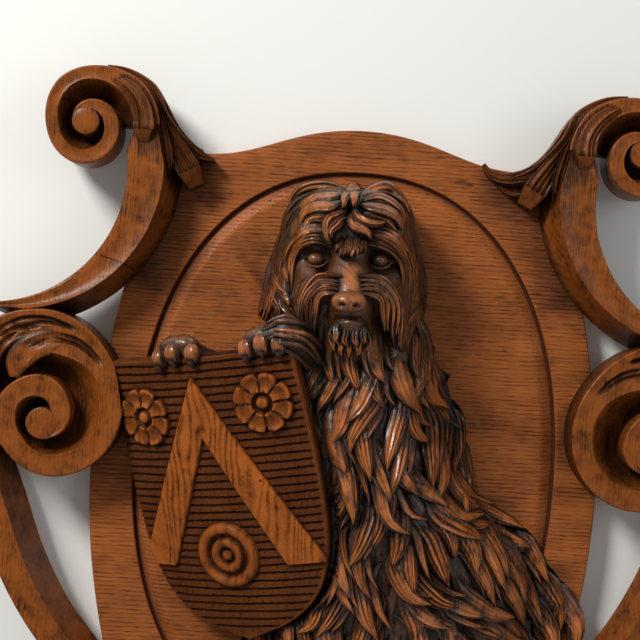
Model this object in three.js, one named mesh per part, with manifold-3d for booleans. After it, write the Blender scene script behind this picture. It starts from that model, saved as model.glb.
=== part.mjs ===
// A carved oak coat of arms: a shaped board with an oval groove, four scrolls lapped over its edge,
// a bowed shield and the long-haired dog that holds it. The origin is on the board's back, at the
// middle of the oval, with +Z up and the front facing -Y.
import * as THREE from 'three';
import { LoftGeometry } from 'three/addons/geometries/LoftGeometry.js';
import { mergeVertices } from 'three/addons/utils/BufferGeometryUtils.js';
import Module from 'manifold-3d';

const wasm = await Module();
wasm.setup();

// Driving dimensions, in millimetres and degrees

// Board
const boardThickness = 22;
const boardHalfWidth = 202.5;
const boardHalfHeight = 266.5;
const widestZ = -15;
const shoulderX = 125;
const shoulderDrop = 25.5;
const cornerX = 158;
const cornerDrop = 4;

// Oval groove in the board
const fieldHalfWidth = 168.7;
const fieldHalfHeight = 232.8;
const fieldSquareness = 2.225;
const grooveWidth = 13;
const grooveDepth = 4.5;
const grooveSteps = 36;

// Clearance between two pieces that touch
const gap = 0.3;

// Scrolls: x is measured from the middle, and heights are in front of the board
const scrollFace = 38;
const crestRise = 0.8;
const coveDepth = 13;
const channelFloor = 11;
const rimRound = 3;
const turnSteps = { wideRadius: 40, wide: 22.5, close: 30, together: 5 };

// Upper scroll, with its band's outer radius and width at each quarter turn from the arm's side
const upperEye = { x: 216.5, z: 256.5, radius: 10.5 };
const upperStart = -90;
const upperRadii = [58, 45, 31.5, 33.5, 26, 16.5, 10];
const upperWidths = [21, 13, 10, 10.5, 12, 8, 5];
const armFace = { x: 288, z: 218, radius: 106, from: 170, to: 266 };
const armRidge = { x: 268, z: 221.6, radius: 114, from: 178, to: 264 };
const armFoot = { x: 275.4, z: 227.1, radius: 133, from: 180, to: 262 };
const armHead = { face: [177, 258], ridge: [161, 256], foot: [151, 262] };
const armTail = { face: [292, 112], ridge: [290, 110], foot: [288, 107] };
const armSteps = 9;
const armHollow = 2.5;

// Lower scroll, with its foot volute under the board
const lowerEye = { x: 236.5, z: 20.5, radius: 12 };
const lowerStart = -90;
const lowerRadii = [66, 88.5, 60.5, 40, 38, 37, 20.5, 13];
const lowerWidths = [22, 30, 17, 17, 18, 18, 11, 5];
const lowerArm = [[291, 34], [281, -6], [267, -46], [250, -88], [226, -129], [193, -169], [166, -204], [153, -238]];
const lowerArmHalf = [13, 15, 16.5, 16, 15, 14, 12.5, 10];
const lowerArmSteps = 10;
const footEye = { x: 108, z: -238, radius: 8.5 };
const footStart = 85;
const footRadii = [55, 41, 34, 29, 22.5, 14.5, 9];
const footWidths = [20, 13, 10, 9.5, 9, 6, 4];

// Leaf lobes as paths of x, z and height, from root to tip
const upperLobes = [
  { path: [[210, 294, 38], [192, 290, 41], [177, 274, 43], [170, 255, 43], [170.5, 241, 39]], half: 9, tip: 0.55 },
  { path: [[176, 279, 36], [164, 258, 35], [156, 238, 32], [149, 217.5, 26]], half: 6.5, tip: 0.3 },
  { path: [[172, 284, 34], [156, 262, 31], [141, 236, 25], [129, 213, 20]], half: 10.5, tip: 0.6 },
  { path: [[160, 268, 28], [142, 247, 22], [125, 232, 16], [108, 228.5, 11]], half: 8, tip: 0.1 },
];
const pointLobe = {
  path: [[196, 296, 35], [175, 286, 34], [160, 267, 31], [144, 249, 25], [126, 241, 19], [109, 239, 15], [96, 245.5, 15]],
  half: 6,
  tip: 0.1,
};
const brokenShare = 0.7;
const lowerLobeRise = 2.5;
const lowerLobes = [
  { path: [[219, 84], [231, 84.5], [242, 81.5], [251.5, 75.5], [258, 66.5], [259.5, 57]], half: 9.5, tip: 0.35 },
  { path: [[250, 90], [268, 86], [279, 73], [281, 59], [276, 46]], half: 8, tip: 0.25 },
].map((lobe) => ({ ...lobe, path: lobe.path.map(([x, z]) => [x, z, scrollFace + lowerLobeRise]) }));
const lobeFlute = 2.6;

// Long cuts along the lower volute's face, as paths of x and z
const cutPaths = [
  [[194.4, 70.7], [207.6, 82.6], [224.6, 88], [242.1, 84.3], [251.5, 76.5]],
  [[216.5, 95.2], [233.7, 100], [250.4, 99.1], [263.2, 93.8], [273.5, 84.6]],
];
const cutHalf = 1.5;
const cutDepth = 2;

// Shield, in its own frame: s across, t down from the top edge and e out from its bowed face
const shieldWidth = 159;
const shieldSwell = 3.5;
const shieldHeight = 226;
const shieldSide = { bend: 0.22, belly: 0.44, pull: 0.86, round: 0.92, roundHalf: 0.75 };
const shieldThickness = 13;
const shieldBow = 347;
const shieldPlace = { x: -116, z: 81.6, height: 72 };
const shieldTurn = -27.2;
const shieldTip = -7.9;
const shieldLean = 15.7;
const shieldFacets = 4;
const reliefHeight = 2.6;
const reliefKey = 2.2;
const chevron = { apexS: -4, apexT: 15, depth: 47, outerSlope: 0.545, innerSlope: 0.48 };
const roses = [{ s: -54, t: 44 }, { s: 51, t: 38.5 }];
const petals = 8;
const roseRadius = 23;
const roseRelief = 5;
const ringPlace = { s: -3, t: 156 };
const ringRadii = [21.5, 10];
const ringTube = 4.2;

// Dog: hair, forms and locks are given in hundredths of its height, across from the middle, down
// from the crown and forward from the board
const dogHeight = 430;
const crownZ = 216;
const unit = dogHeight / 100;
const headHair = {
  downs: [-0.3, 1.2, 4, 8, 12.5, 17.5, 22, 25],
  left: [-9.4, -11.8, -13.4, -14.6, -15.5, -16.5, -17.6, -16.6],
  crest: [-2, -2, -2, -2, -2, -2, -2, -2],
  right: [6, 9.6, 11, 11.6, 12.2, 13, 13.6, 12.6],
  front: [12, 18.4, 22, 23, 21.6, 19.6, 18, 14],
  square: 2.4,
  ridges: 9,
  sections: 11,
  tiers: 2.5,
  rise: 1.1,
  sway: 0.4,
};
const coatHair = {
  downs: [23, 32, 42, 52, 62, 73, 85, 97],
  left: [-11, -15, -16, -15, -12, -13, -15, -13],
  crest: [1, 2, 2, 4, 6, 8, 7, 4],
  right: [14, 17.6, 18.4, 24.6, 31.4, 36, 33, 21],
  front: [17, 19.6, 19.8, 19.4, 19, 17.5, 14.5, 8],
  square: 1.9,
  ridges: 9,
  sections: 22,
  tiers: 5.5,
  rise: 2.1,
  sway: 0.8,
};
const dogForms = {
  brow: { at: [-1.6, 9.4, 17.4], radii: [9, 4.4, 6.2] },
  cheeks: { at: [-0.6, 19.6, 14.6], radii: [8.8, 7.8, 8] },
  muzzle: { at: [-0.9, 18.4, 19.5], radii: [4.3, 4.6, 8.4] },
  nose: { at: [-0.8, 20.2, 25.8], radii: [3, 2, 2.6] },
  chin: { at: [0, 25, 20], radii: [3.3, 3.3, 5] },
  hindPaw: { at: [15, 94.4, 8], radii: [5.6, 3.4, 9] },
  farHindPaw: { at: [-9.5, 94.6, 7.4], radii: [5.2, 3.2, 8.4] },
};
const formSides = 8;
const formRings = 4;
const eyes = [[-7.2, 13.4], [4.1, 13]];
const fringeLocks = 2;
const whiskerLocks = 1;
const tuftLocks = 3;
const toes = 3;
const toeRadius = 5.6;
const pawReach = [{ s: -20, span: 24 }, { s: 48, span: 26 }];

const radians = THREE.MathUtils.degToRad;

// A point by its place across and up, and its height in front of the board
function at(x, z, height) {
  return new THREE.Vector3(x, -(boardThickness + height), z);
}

// A repeatable small difference between one carved detail and the next, from -1 to 1
function differ(index) {
  const wave = Math.sin(index * 12.9898) * 43758.5453;
  return 2 * (wave - Math.floor(wave)) - 1;
}

// A smooth value between the entries of a list
function smoothAlong(list, place) {
  const curve = new THREE.SplineCurve(list.map((value, index) => new THREE.Vector2(index, value)));
  return curve.getPoint(THREE.MathUtils.clamp(place / (list.length - 1), 0, 1)).y;
}

// A closed geometry as a solid, with its faces turned outwards
function solid(geometry) {
  const bare = new THREE.BufferGeometry();
  bare.setAttribute('position', geometry.attributes.position);
  bare.setIndex(geometry.index);
  const merged = mergeVertices(bare, 1e-4);
  const corners = merged.attributes.position;
  const [a, b, c] = [new THREE.Vector3(), new THREE.Vector3(), new THREE.Vector3()];
  const faces = [];
  let volume = 0;
  for (let i = 0; i < merged.index.count; i += 3) {
    const face = [0, 1, 2].map((k) => merged.index.getX(i + k));
    if (new Set(face).size === 3) faces.push(face);
    [a, b, c].forEach((corner, k) => corner.fromBufferAttribute(corners, face[k]));
    volume += a.dot(b.cross(c));
  }
  const outward = volume > 0 ? faces : faces.map(([p, q, r]) => [p, r, q]);
  return new wasm.Manifold(new wasm.Mesh({
    numProp: 3,
    vertProperties: new Float32Array(corners.array),
    triVerts: new Uint32Array(outward.flat()),
  }));
}

function joined(solids) {
  return solids.reduce((whole, next) => whole.add(next));
}

// The body of a carving without the hollows shut up inside it
function wholeBody(carved) {
  return carved.decompose().reduce((largest, next) => (next.volume() > largest.volume() ? next : largest));
}

function mesh(name, body, material) {
  const { vertProperties, triVerts } = body.getMesh();
  const geometry = new THREE.BufferGeometry();
  geometry.setAttribute('position', new THREE.BufferAttribute(new Float32Array(vertProperties), 3));
  geometry.setIndex(new THREE.BufferAttribute(new Uint32Array(triVerts), 1));
  geometry.computeVertexNormals();
  const made = new THREE.Mesh(geometry, material);
  made.name = name;
  return made;
}

// A skin through sections, closed at both ends, with each section turned so that its walls face out
function loft(sections) {
  const [first, second] = sections;
  const turn = new THREE.Vector3();
  const ahead = new THREE.Vector3();
  first.forEach((point, i) => {
    turn.add(point.clone().cross(first[(i + 1) % first.length]));
    ahead.add(second[i]).sub(point);
  });
  const wound = turn.dot(ahead) > 0 ? sections : sections.map((section) => [...section].reverse());
  return new LoftGeometry(wound, { capStart: true, capEnd: true });
}

// A flat shape across X and Z, carried forward between two heights in front of the board
function plate(shape, fromHeight, toHeight, curveSegments) {
  const geometry = new THREE.ExtrudeGeometry(shape, {
    depth: toHeight - fromHeight,
    bevelEnabled: false,
    curveSegments,
  });
  geometry.rotateX(Math.PI / 2);
  geometry.translate(0, -(boardThickness + fromHeight), 0);
  return geometry;
}

// The space in front of the board, which the dog and the shield are cut back to
function frontSpace() {
  const reach = 2 * boardHalfHeight;
  const corners = [[-1, -1], [1, -1], [1, 1], [-1, 1]].map(([x, z]) => new THREE.Vector2(x * reach, z * reach));
  return solid(plate(new THREE.Shape(corners), gap, reach, 1));
}

// Board outline from the crown down the right side, and back up the left side
function boardShape() {
  const shoulderZ = boardHalfHeight - shoulderDrop;
  const cornerZ = shoulderZ - cornerDrop;
  const crownPull = shoulderX * 0.46;
  const hollowPull = shoulderX * 0.64;
  const cornerPull = boardHalfWidth * 0.94;
  const shape = new THREE.Shape();
  shape.moveTo(0, boardHalfHeight);
  shape.bezierCurveTo(crownPull, boardHalfHeight, hollowPull, shoulderZ, shoulderX, shoulderZ);
  shape.lineTo(cornerX, cornerZ);
  shape.bezierCurveTo(cornerPull, cornerZ / 2, boardHalfWidth, cornerZ / 5, boardHalfWidth, widestZ);
  shape.bezierCurveTo(boardHalfWidth, -cornerZ / 3, cornerPull, -cornerZ * 0.63, cornerX, -cornerZ);
  shape.lineTo(shoulderX, -shoulderZ);
  shape.bezierCurveTo(hollowPull, -shoulderZ, crownPull, -boardHalfHeight, 0, -boardHalfHeight);
  shape.bezierCurveTo(-crownPull, -boardHalfHeight, -hollowPull, -shoulderZ, -shoulderX, -shoulderZ);
  shape.lineTo(-cornerX, -cornerZ);
  shape.bezierCurveTo(-cornerPull, -cornerZ * 0.63, -boardHalfWidth, -cornerZ / 3, -boardHalfWidth, widestZ);
  shape.bezierCurveTo(-boardHalfWidth, cornerZ / 5, -cornerPull, cornerZ / 2, -cornerX, cornerZ);
  shape.lineTo(-shoulderX, shoulderZ);
  shape.bezierCurveTo(-hollowPull, shoulderZ, -crownPull, boardHalfHeight, 0, boardHalfHeight);
  return shape;
}

// A point of the squarish oval, moved in by a distance
function ovalPoint(angle, inset, height) {
  const bend = (value) => Math.sign(value) * Math.abs(value) ** (2 / fieldSquareness);
  return at(
    (fieldHalfWidth - inset) * bend(Math.cos(angle)),
    (fieldHalfHeight - inset) * bend(Math.sin(angle)),
    height,
  );
}

function grooveCutter() {
  const steepSide = 1.5;
  const clear = 1;
  const sections = [];
  for (let i = 0; i <= grooveSteps; i += 1) {
    const angle = 2 * Math.PI * (i % grooveSteps) / grooveSteps;
    sections.push([
      ovalPoint(angle, -steepSide, clear),
      ovalPoint(angle, steepSide, -grooveDepth),
      ovalPoint(angle, grooveWidth, clear),
    ]);
  }
  return new LoftGeometry(sections);
}

function board() {
  return solid(plate(boardShape(), -boardThickness, 0, 7)).subtract(solid(grooveCutter()));
}

// A band that winds round an eye: its section runs from the outer rim over a crest into a cove,
// which sinks to the wall of the next turn. Turns are measured from straight up, and hand is 1
// where they run towards +X
function windingBand({ eye, hand, start, radii, widths }) {
  const end = start + 90 * (radii.length - 1);
  const radiusAt = (turn) => smoothAlong(radii, (turn - start) / 90);
  const turns = [];
  for (let turn = start; turn < end - turnSteps.close / 2;) {
    turns.push(turn);
    turn += radiusAt(turn) > turnSteps.wideRadius ? turnSteps.wide : turnSteps.close;
  }
  const sections = [...turns, end].map((turn) => {
    const angle = radians(turn);
    const outer = radiusAt(turn);
    const next = turn + 360 <= end ? radiusAt(turn + 360) : eye.radius;
    const width = Math.min(smoothAlong(widths, (turn - start) / 90), outer - 2);
    const reach = Math.min(Math.max(outer - next + 2, width + 5), outer - 0.5);
    const round = Math.min(rimRound, width * 0.4);
    const profile = [
      [0, gap],
      [0, scrollFace - round],
      [round, scrollFace],
      [width, scrollFace + crestRise],
      [width + (reach - width) * 0.35, scrollFace - coveDepth],
      [reach, channelFloor],
      [reach, gap],
    ];
    return profile.map(([inward, height]) => at(
      eye.x + hand * Math.sin(angle) * (outer - inward),
      eye.z + Math.cos(angle) * (outer - inward),
      height,
    ));
  });
  const pieces = [];
  for (let i = 0; i < sections.length - 1; i += turnSteps.together) {
    pieces.push(solid(loft(sections.slice(i, i + turnSteps.together + 1))));
  }
  return wholeBody(joined(pieces));
}

// The domed button in which a volute ends
function eyeButton(eye) {
  const side = scrollFace - gap;
  const profile = [[0, 0], [1, 0], [1, side - 2], [0.7, side + 1], [0, side + 1.6]];
  const button = new THREE.LatheGeometry(
    profile.map(([share, height]) => new THREE.Vector2(share * eye.radius, height)),
    10,
  );
  button.rotateX(Math.PI);
  button.translate(eye.x, -(boardThickness + gap), eye.z);
  return solid(button);
}

// A carved lobe with two ridges and a flute between them, from its root to its tip
function leafLobe({ path, half, tip }, share = 1) {
  const curve = new THREE.CatmullRomCurve3(path.map(([x, z, height]) => at(x, z, height)));
  const steps = path.length;
  const sections = [];
  for (let i = 0; i <= steps; i += 1) {
    const place = share * i / steps;
    const middle = curve.getPoint(place);
    const ahead = curve.getTangent(place);
    const across = new THREE.Vector3(ahead.z, 0, -ahead.x).normalize();
    const swell = 0.5 + 0.5 * Math.sin(Math.PI * Math.min(place / 0.62, 1) / 2);
    const taper = place < 0.62 ? 1 : THREE.MathUtils.lerp(1, tip, ((place - 0.62) / 0.38) ** 1.6);
    const reach = half * swell * taper;
    const height = -middle.y - boardThickness;
    const profile = [
      [-1, gap],
      [-0.6, height],
      [0, height - lobeFlute],
      [0.6, height],
      [1, gap],
    ];
    sections.push(profile.map(([side, level]) => at(
      middle.x + across.x * side * reach,
      middle.z + across.z * side * reach,
      level,
    )));
  }
  return solid(loft(sections));
}

// A long cut with sloping sides, fading out at both ends
function faceCut(path) {
  const curve = new THREE.CatmullRomCurve3(path.map(([x, z]) => at(x, z, scrollFace)));
  const steps = 2 * path.length;
  const sections = [];
  for (let i = 0; i <= steps; i += 1) {
    const middle = curve.getPoint(i / steps);
    const ahead = curve.getTangent(i / steps);
    const across = new THREE.Vector3(ahead.z, 0, -ahead.x).normalize();
    const deep = cutDepth * Math.max(Math.sin(Math.PI * i / steps), 0.2);
    const place = (side, level) => at(middle.x + across.x * side, middle.z + across.z * side, scrollFace + level);
    sections.push([place(-3 * cutHalf, 2 * cutDepth), place(0, -deep), place(3 * cutHalf, 2 * cutDepth)]);
  }
  return solid(loft(sections));
}

// A plain arm's section: a slightly hollow face, a crisp ridge and a side that slopes to the foot
function armSection(face, ridge, foot) {
  return [
    at(face[0], face[1], gap),
    at(face[0], face[1], scrollFace - armHollow * 0.6),
    at((face[0] + ridge[0]) / 2, (face[1] + ridge[1]) / 2, scrollFace - armHollow),
    at(ridge[0], ridge[1], scrollFace),
    at(foot[0], foot[1], gap),
  ];
}

function upperArm() {
  const pointOn = ({ x, z, radius, from, to }, share) => {
    const angle = radians(from + (to - from) * share);
    return [x + radius * Math.cos(angle), z + radius * Math.sin(angle)];
  };
  const sections = [armSection(armHead.face, armHead.ridge, armHead.foot)];
  for (let i = 0; i <= armSteps; i += 1) {
    const share = i / armSteps;
    sections.push(armSection(pointOn(armFace, share), pointOn(armRidge, share), pointOn(armFoot, share)));
  }
  sections.push(armSection(armTail.face, armTail.ridge, armTail.foot));
  return solid(loft(sections));
}

// The lower volute's outline grown by the clearance, which the upper arm's tail rests on
function lowerVoluteSpace() {
  const points = [];
  for (let turn = 0; turn < 360; turn += turnSteps.wide) {
    const angle = radians(lowerStart + turn);
    const radius = smoothAlong(lowerRadii, turn / 90) + 2 * gap;
    points.push(new THREE.Vector2(
      lowerEye.x - radius * Math.sin(angle),
      lowerEye.z + radius * Math.cos(angle),
    ));
  }
  return solid(plate(new THREE.Shape(points), -gap, 2 * scrollFace, 1));
}

function lowerArmBody() {
  const curve = new THREE.CatmullRomCurve3(lowerArm.map(([x, z]) => new THREE.Vector3(x, 0, z)));
  const sections = [];
  for (let i = 0; i <= lowerArmSteps; i += 1) {
    const share = i / lowerArmSteps;
    const middle = curve.getPoint(share);
    const ahead = curve.getTangent(share);
    const half = smoothAlong(lowerArmHalf, share * (lowerArmHalf.length - 1));
    const place = (side) => [middle.x - ahead.z * half * side, middle.z + ahead.x * half * side];
    sections.push(armSection(place(1), place(-0.4), place(-1)));
  }
  return solid(loft(sections));
}

function upperScroll(broken) {
  const band = { eye: upperEye, hand: 1, start: upperStart, radii: upperRadii, widths: upperWidths };
  const parts = [windingBand(band), eyeButton(upperEye), upperArm()];
  const whole = broken ? upperLobes.slice(0, -1) : upperLobes;
  parts.push(...whole.map((lobe) => leafLobe(lobe)), leafLobe(pointLobe, broken ? brokenShare : 1));
  return joined(parts).subtract(lowerVoluteSpace());
}

function lowerScroll() {
  const volute = { eye: lowerEye, hand: -1, start: lowerStart, radii: lowerRadii, widths: lowerWidths };
  const foot = { eye: footEye, hand: 1, start: footStart, radii: footRadii, widths: footWidths };
  const parts = [windingBand(volute), eyeButton(lowerEye), lowerArmBody(), windingBand(foot), eyeButton(footEye)];
  parts.push(...lowerLobes.map((lobe) => leafLobe(lobe)));
  return joined(parts).subtract(joined(cutPaths.map(faceCut)));
}

// The same carving for the other side of the middle
function mirrored(body) {
  return body.mirror([1, 0, 0]);
}

// Shield

const shieldMatrix = new THREE.Matrix4().compose(
  at(shieldPlace.x, shieldPlace.z, shieldPlace.height),
  new THREE.Quaternion().setFromEuler(new THREE.Euler(
    radians(shieldLean),
    radians(shieldTip),
    radians(shieldTurn),
    'ZYX',
  )),
  new THREE.Vector3(1, 1, 1),
);
const shieldHalfAngle = Math.asin(shieldWidth / 2 / shieldBow);

// A point of the shield's own frame, out from its bowed face by e
function onBow(angle, e, t) {
  return new THREE.Vector3(
    Math.sin(angle) * (shieldBow + e),
    Math.cos(shieldHalfAngle) * shieldBow - Math.cos(angle) * (shieldBow + e),
    -t,
  );
}

function shieldPoint(s, t, e) {
  return onBow(Math.asin(s / shieldBow), e, t).applyMatrix4(shieldMatrix);
}

// A section of e and t values carried across the bow
function bowLoft(section) {
  const widest = shieldHalfAngle * 1.1;
  const sections = [];
  for (let i = 0; i <= shieldFacets; i += 1) {
    const angle = widest * (2 * i / shieldFacets - 1);
    sections.push(section.map(([e, t]) => onBow(angle, e, t).applyMatrix4(shieldMatrix)));
  }
  return solid(loft(sections));
}

function bowSlab(front, back) {
  const over = 20;
  return bowLoft([[front, -over], [front, shieldHeight + over], [-back, shieldHeight + over], [-back, -over]]);
}

// A flat shape of s and t carried through the whole depth of the shield
function shieldPrism(shape, depth = 4 * shieldThickness) {
  const geometry = new THREE.ExtrudeGeometry(shape, { depth, bevelEnabled: false, curveSegments: 7 });
  geometry.rotateX(Math.PI / 2);
  geometry.translate(0, depth / 2, 0);
  geometry.applyMatrix4(shieldMatrix);
  return solid(geometry);
}

function shieldShape(grow = 0) {
  const half = shieldWidth / 2 + grow;
  const belly = half + shieldSwell;
  const tip = -shieldHeight - grow;
  const roundHalf = shieldSide.roundHalf * half;
  const [bend, widest, pull, round] = ['bend', 'belly', 'pull', 'round'].map((place) => -shieldSide[place] * shieldHeight);
  const shape = new THREE.Shape();
  shape.moveTo(-half, grow);
  shape.lineTo(half, grow);
  shape.quadraticCurveTo(belly, bend, belly, widest);
  shape.bezierCurveTo(belly, pull, roundHalf, round, 0, tip);
  shape.bezierCurveTo(-roundHalf, round, -belly, pull, -belly, widest);
  shape.quadraticCurveTo(-belly, bend, -half, grow);
  return shape;
}

function chevronShape() {
  const { apexS, apexT, depth, outerSlope, innerSlope } = chevron;
  const end = shieldHeight;
  const outer = outerSlope * (end - apexT);
  const inner = innerSlope * (end - apexT - depth);
  return new THREE.Shape([
    new THREE.Vector2(apexS, -apexT),
    new THREE.Vector2(apexS - outer, -end),
    new THREE.Vector2(apexS - inner, -end),
    new THREE.Vector2(apexS, -apexT - depth),
    new THREE.Vector2(apexS + inner, -end),
    new THREE.Vector2(apexS + outer, -end),
  ]);
}

// A small rounded form on the shield's face, turned with the bow and in its own plane
function shieldBoss(s, t, e, radii, boss = new THREE.SphereGeometry(1, 6, 4)) {
  boss.scale(radii[0], radii[1], radii[2]);
  boss.rotateZ(Math.asin(s / shieldBow));
  const middle = onBow(Math.asin(s / shieldBow), e, t);
  boss.translate(middle.x, middle.y, middle.z);
  boss.applyMatrix4(shieldMatrix);
  return solid(boss);
}

// A rose: a ring of square-ended petals with notches between them, round a button
function rose({ s, t }) {
  const shares = [0, 0.27, 0.73];
  const sections = [];
  for (let i = 0; i <= petals * shares.length; i += 1) {
    const petal = Math.floor(i / shares.length) % petals;
    const angle = 2 * Math.PI * (petal + shares[i % shares.length]) / petals;
    const notch = i % shares.length === 0 ? 1 : 0;
    const profile = [
      [0.34, -reliefKey],
      [0.42, roseRelief * (1 - 0.45 * notch)],
      [1 - 0.17 * notch, roseRelief * 0.45],
      [1 - 0.17 * notch, -reliefKey],
    ];
    sections.push(profile.map(([share, e]) => {
      const across = s + share * roseRadius * Math.sin(angle);
      return onBow(Math.asin(across / shieldBow), e, t - share * roseRadius * Math.cos(angle));
    }));
  }
  const ring = new LoftGeometry(sections);
  ring.applyMatrix4(shieldMatrix);
  return solid(ring).add(shieldBoss(s, t, 0, [5, roseRelief - 1, 5]));
}

function ringedRoundel() {
  const rings = ringRadii.map((radius) => {
    const ring = new THREE.TorusGeometry(radius, ringTube, 4, 12);
    ring.rotateX(Math.PI / 2);
    const middle = onBow(Math.asin(ringPlace.s / shieldBow), 0.4, ringPlace.t);
    ring.translate(middle.x, middle.y, middle.z);
    ring.applyMatrix4(shieldMatrix);
    return solid(ring);
  });
  return joined([...rings, shieldBoss(ringPlace.s, ringPlace.t, 0, [4.5, 4, 4.5])]);
}

function shield() {
  const outline = shieldPrism(shieldShape());
  const field = bowSlab(0, shieldThickness).intersect(outline);
  const bars = shieldPrism(chevronShape()).intersect(bowSlab(reliefHeight, reliefKey)).intersect(outline);
  return joined([field, bars, ...roses.map(rose), ringedRoundel()]).intersect(frontSpace());
}

// The room that the shield takes with its clearance, from its back to a distance out from its face
function shieldSpace(front) {
  return bowSlab(front, shieldThickness + gap).intersect(shieldPrism(shieldShape(gap), 2 * front + 4 * shieldThickness));
}

// The lower left scroll, trimmed where the shield's edge laps over its volute
function lowerLeftScroll() {
  return mirrored(lowerScroll()).subtract(shieldSpace(scrollFace));
}

// Dog

function dogPlace([across, down, forward]) {
  return { x: across * unit, z: crownZ - down * unit, height: forward * unit };
}

function formBody({ at: place, radii }) {
  const { x, z, height } = dogPlace(place);
  const body = new THREE.SphereGeometry(1, formSides, formRings);
  body.scale(radii[0] * unit, radii[2] * unit, radii[1] * unit);
  const middle = at(x, z, height);
  body.translate(middle.x, middle.y, middle.z);
  return solid(body);
}

// A mass of hair at a place down the figure: its left side, crest, right side and front
function hairAt(mass, down) {
  const { downs } = mass;
  const found = downs.findIndex((level) => level >= down);
  const next = THREE.MathUtils.clamp(found < 0 ? downs.length : found, 1, downs.length - 1);
  const place = next - (downs[next] - down) / (downs[next] - downs[next - 1]);
  const [left, crest, right, front] = ['left', 'crest', 'right', 'front'].map((side) => smoothAlong(mass[side], place));
  return { left, crest, right, front, square: mass.square };
}

// Height of a mass of hair at a place across it, with no locks on it
function roundOf(across, { left, crest, right, front, square }) {
  const reach = across < crest ? crest - left : right - crest;
  const share = Math.abs(across - crest) / reach;
  return share < 1 ? front * (1 - share ** square) ** (1.2 / square) : 0;
}

// How far the dog stands in front of the board at a place
function dogForward(across, down) {
  const masses = [headHair, coatHair].filter(({ downs }) => down > downs[0] && down < downs.at(-1));
  const rounds = masses.map((mass) => roundOf(across, hairAt(mass, down)));
  const forms = Object.values(dogForms).map(({ at: [x, y, forward], radii }) => {
    const inside = 1 - ((across - x) / radii[0]) ** 2 - ((down - y) / radii[1]) ** 2;
    return inside > 0 ? forward + radii[2] * Math.sqrt(inside) : 0;
  });
  return Math.max(0, ...rounds, ...forms);
}

// A mass of hair as one round, with tiers of wavy locks down it
function hairBody(mass) {
  const { downs, ridges, sections: count, tiers, rise, sway } = mass;
  const sections = [];
  for (let i = 0; i <= count; i += 1) {
    const share = i / count;
    const down = THREE.MathUtils.lerp(downs[0], downs.at(-1), share);
    const side = hairAt(mass, down);
    const section = [];
    for (let j = 0; j <= 2 * ridges; j += 1) {
      const tier = share * tiers + 0.5 * (Math.floor(j / 2) % 2);
      const growth = 0.35 + 0.65 * (tier - Math.floor(tier));
      const isEdge = j === 0 || j === 2 * ridges;
      const wave = isEdge ? sway * 2 * (growth - 0.7) * Math.sign(j - ridges) : sway * Math.sin(2 * Math.PI * tier);
      const across = THREE.MathUtils.lerp(side.left, side.right, j / (2 * ridges)) + wave;
      const height = roundOf(across, side) + (j % 2) * rise * growth;
      section.push(dogPlace([across, down, isEdge ? gap / unit : Math.max(height, 1)]));
    }
    sections.push(section.map(({ x, z, height }) => at(x, z, height)));
  }
  return solid(loft(sections));
}

// A pointed lock of hair that lies on the coat along a path of across and down values
function hairLock(path, half, rise) {
  const curve = new THREE.CatmullRomCurve3(path.map(([across, down]) => new THREE.Vector3(across, -down, 0)));
  const steps = 3;
  const sections = [];
  for (let i = 0; i <= steps; i += 1) {
    const share = i / steps;
    const middle = curve.getPoint(share);
    const ahead = curve.getTangent(share);
    const reach = half * Math.max(Math.sin(Math.PI * (0.25 + 0.7 * share)), 0.16);
    const level = Math.max(dogForward(middle.x, -middle.y), 1.2);
    const crest = level + rise * Math.sin(Math.PI * (0.15 + 0.75 * share));
    const profile = [[-1, level - 1.2], [0.1, crest], [1, level - 1.2], [0, level - 5]];
    sections.push(profile.map(([side, forward]) => {
      const place = dogPlace([middle.x - ahead.y * side * reach, -middle.y - ahead.x * side * reach, forward]);
      return at(place.x, place.z, Math.max(place.height, 0));
    }));
  }
  return solid(loft(sections));
}

// Locks of the head: the parted fringe, the moustache and the tuft on the chin
function faceHair() {
  const locks = [];
  const middle = headHair.crest[0];
  for (const side of [-1, 1]) {
    for (let i = 0; i < fringeLocks; i += 1) {
      const bow = 9.6 - 4 * i;
      locks.push(hairLock([
        [middle + side * 0.6, 2.4 + 1.2 * i],
        [middle + side * bow * 0.45, 3.6 + i],
        [middle + side * bow * 0.85, 7.6 + 0.4 * i],
        [middle + side * bow, 12.8 - 0.6 * i],
      ], 2.5, 1.6));
    }
    for (let i = 0; i < whiskerLocks; i += 1) {
      locks.push(hairLock([
        [-0.8 + side * 3, 18 + 0.7 * i],
        [-0.8 + side * (5.2 + 0.9 * i), 18.2 + 0.9 * i],
        [-0.8 + side * (6.6 + i), 22.4 + 0.4 * i],
        [-0.8 + side * (7.2 + 0.8 * i), 28.5 - 1.2 * i],
      ], 1.8, 1.8));
    }
  }
  for (let i = 0; i < tuftLocks; i += 1) {
    const across = 2.2 * (i - (tuftLocks - 1) / 2);
    locks.push(hairLock([[across, 24], [across * 1.1, 26], [across, 29.2]], 1.4, 1.3));
  }
  return locks;
}

// A paw over the shield's top edge: the back of the foot, the toes and their claws
function paw({ s, span }) {
  const parts = [shieldBoss(s + span / 2, -9, -5, [span * 0.62, 12, 9])];
  for (let i = 0; i < toes; i += 1) {
    const place = s + span * i / (toes - 1);
    parts.push(shieldBoss(place, -3, 3, [toeRadius, toeRadius + 1.5, toeRadius * 1.35]));
    parts.push(shieldBoss(place, 6, 5.4, [2.4, 2.4, 6], new THREE.ConeGeometry(1, 2, 5).rotateX(-Math.PI / 2)));
  }
  return joined(parts);
}

// A foreleg from the chest to the back of a paw
function foreleg(points, radius) {
  const curve = new THREE.CatmullRomCurve3(points);
  const ring = new THREE.Shape().absarc(0, 0, radius, 0, 2 * Math.PI);
  return solid(new THREE.ExtrudeGeometry(ring, { extrudePath: curve, steps: 4, curveSegments: 4 }));
}

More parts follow.
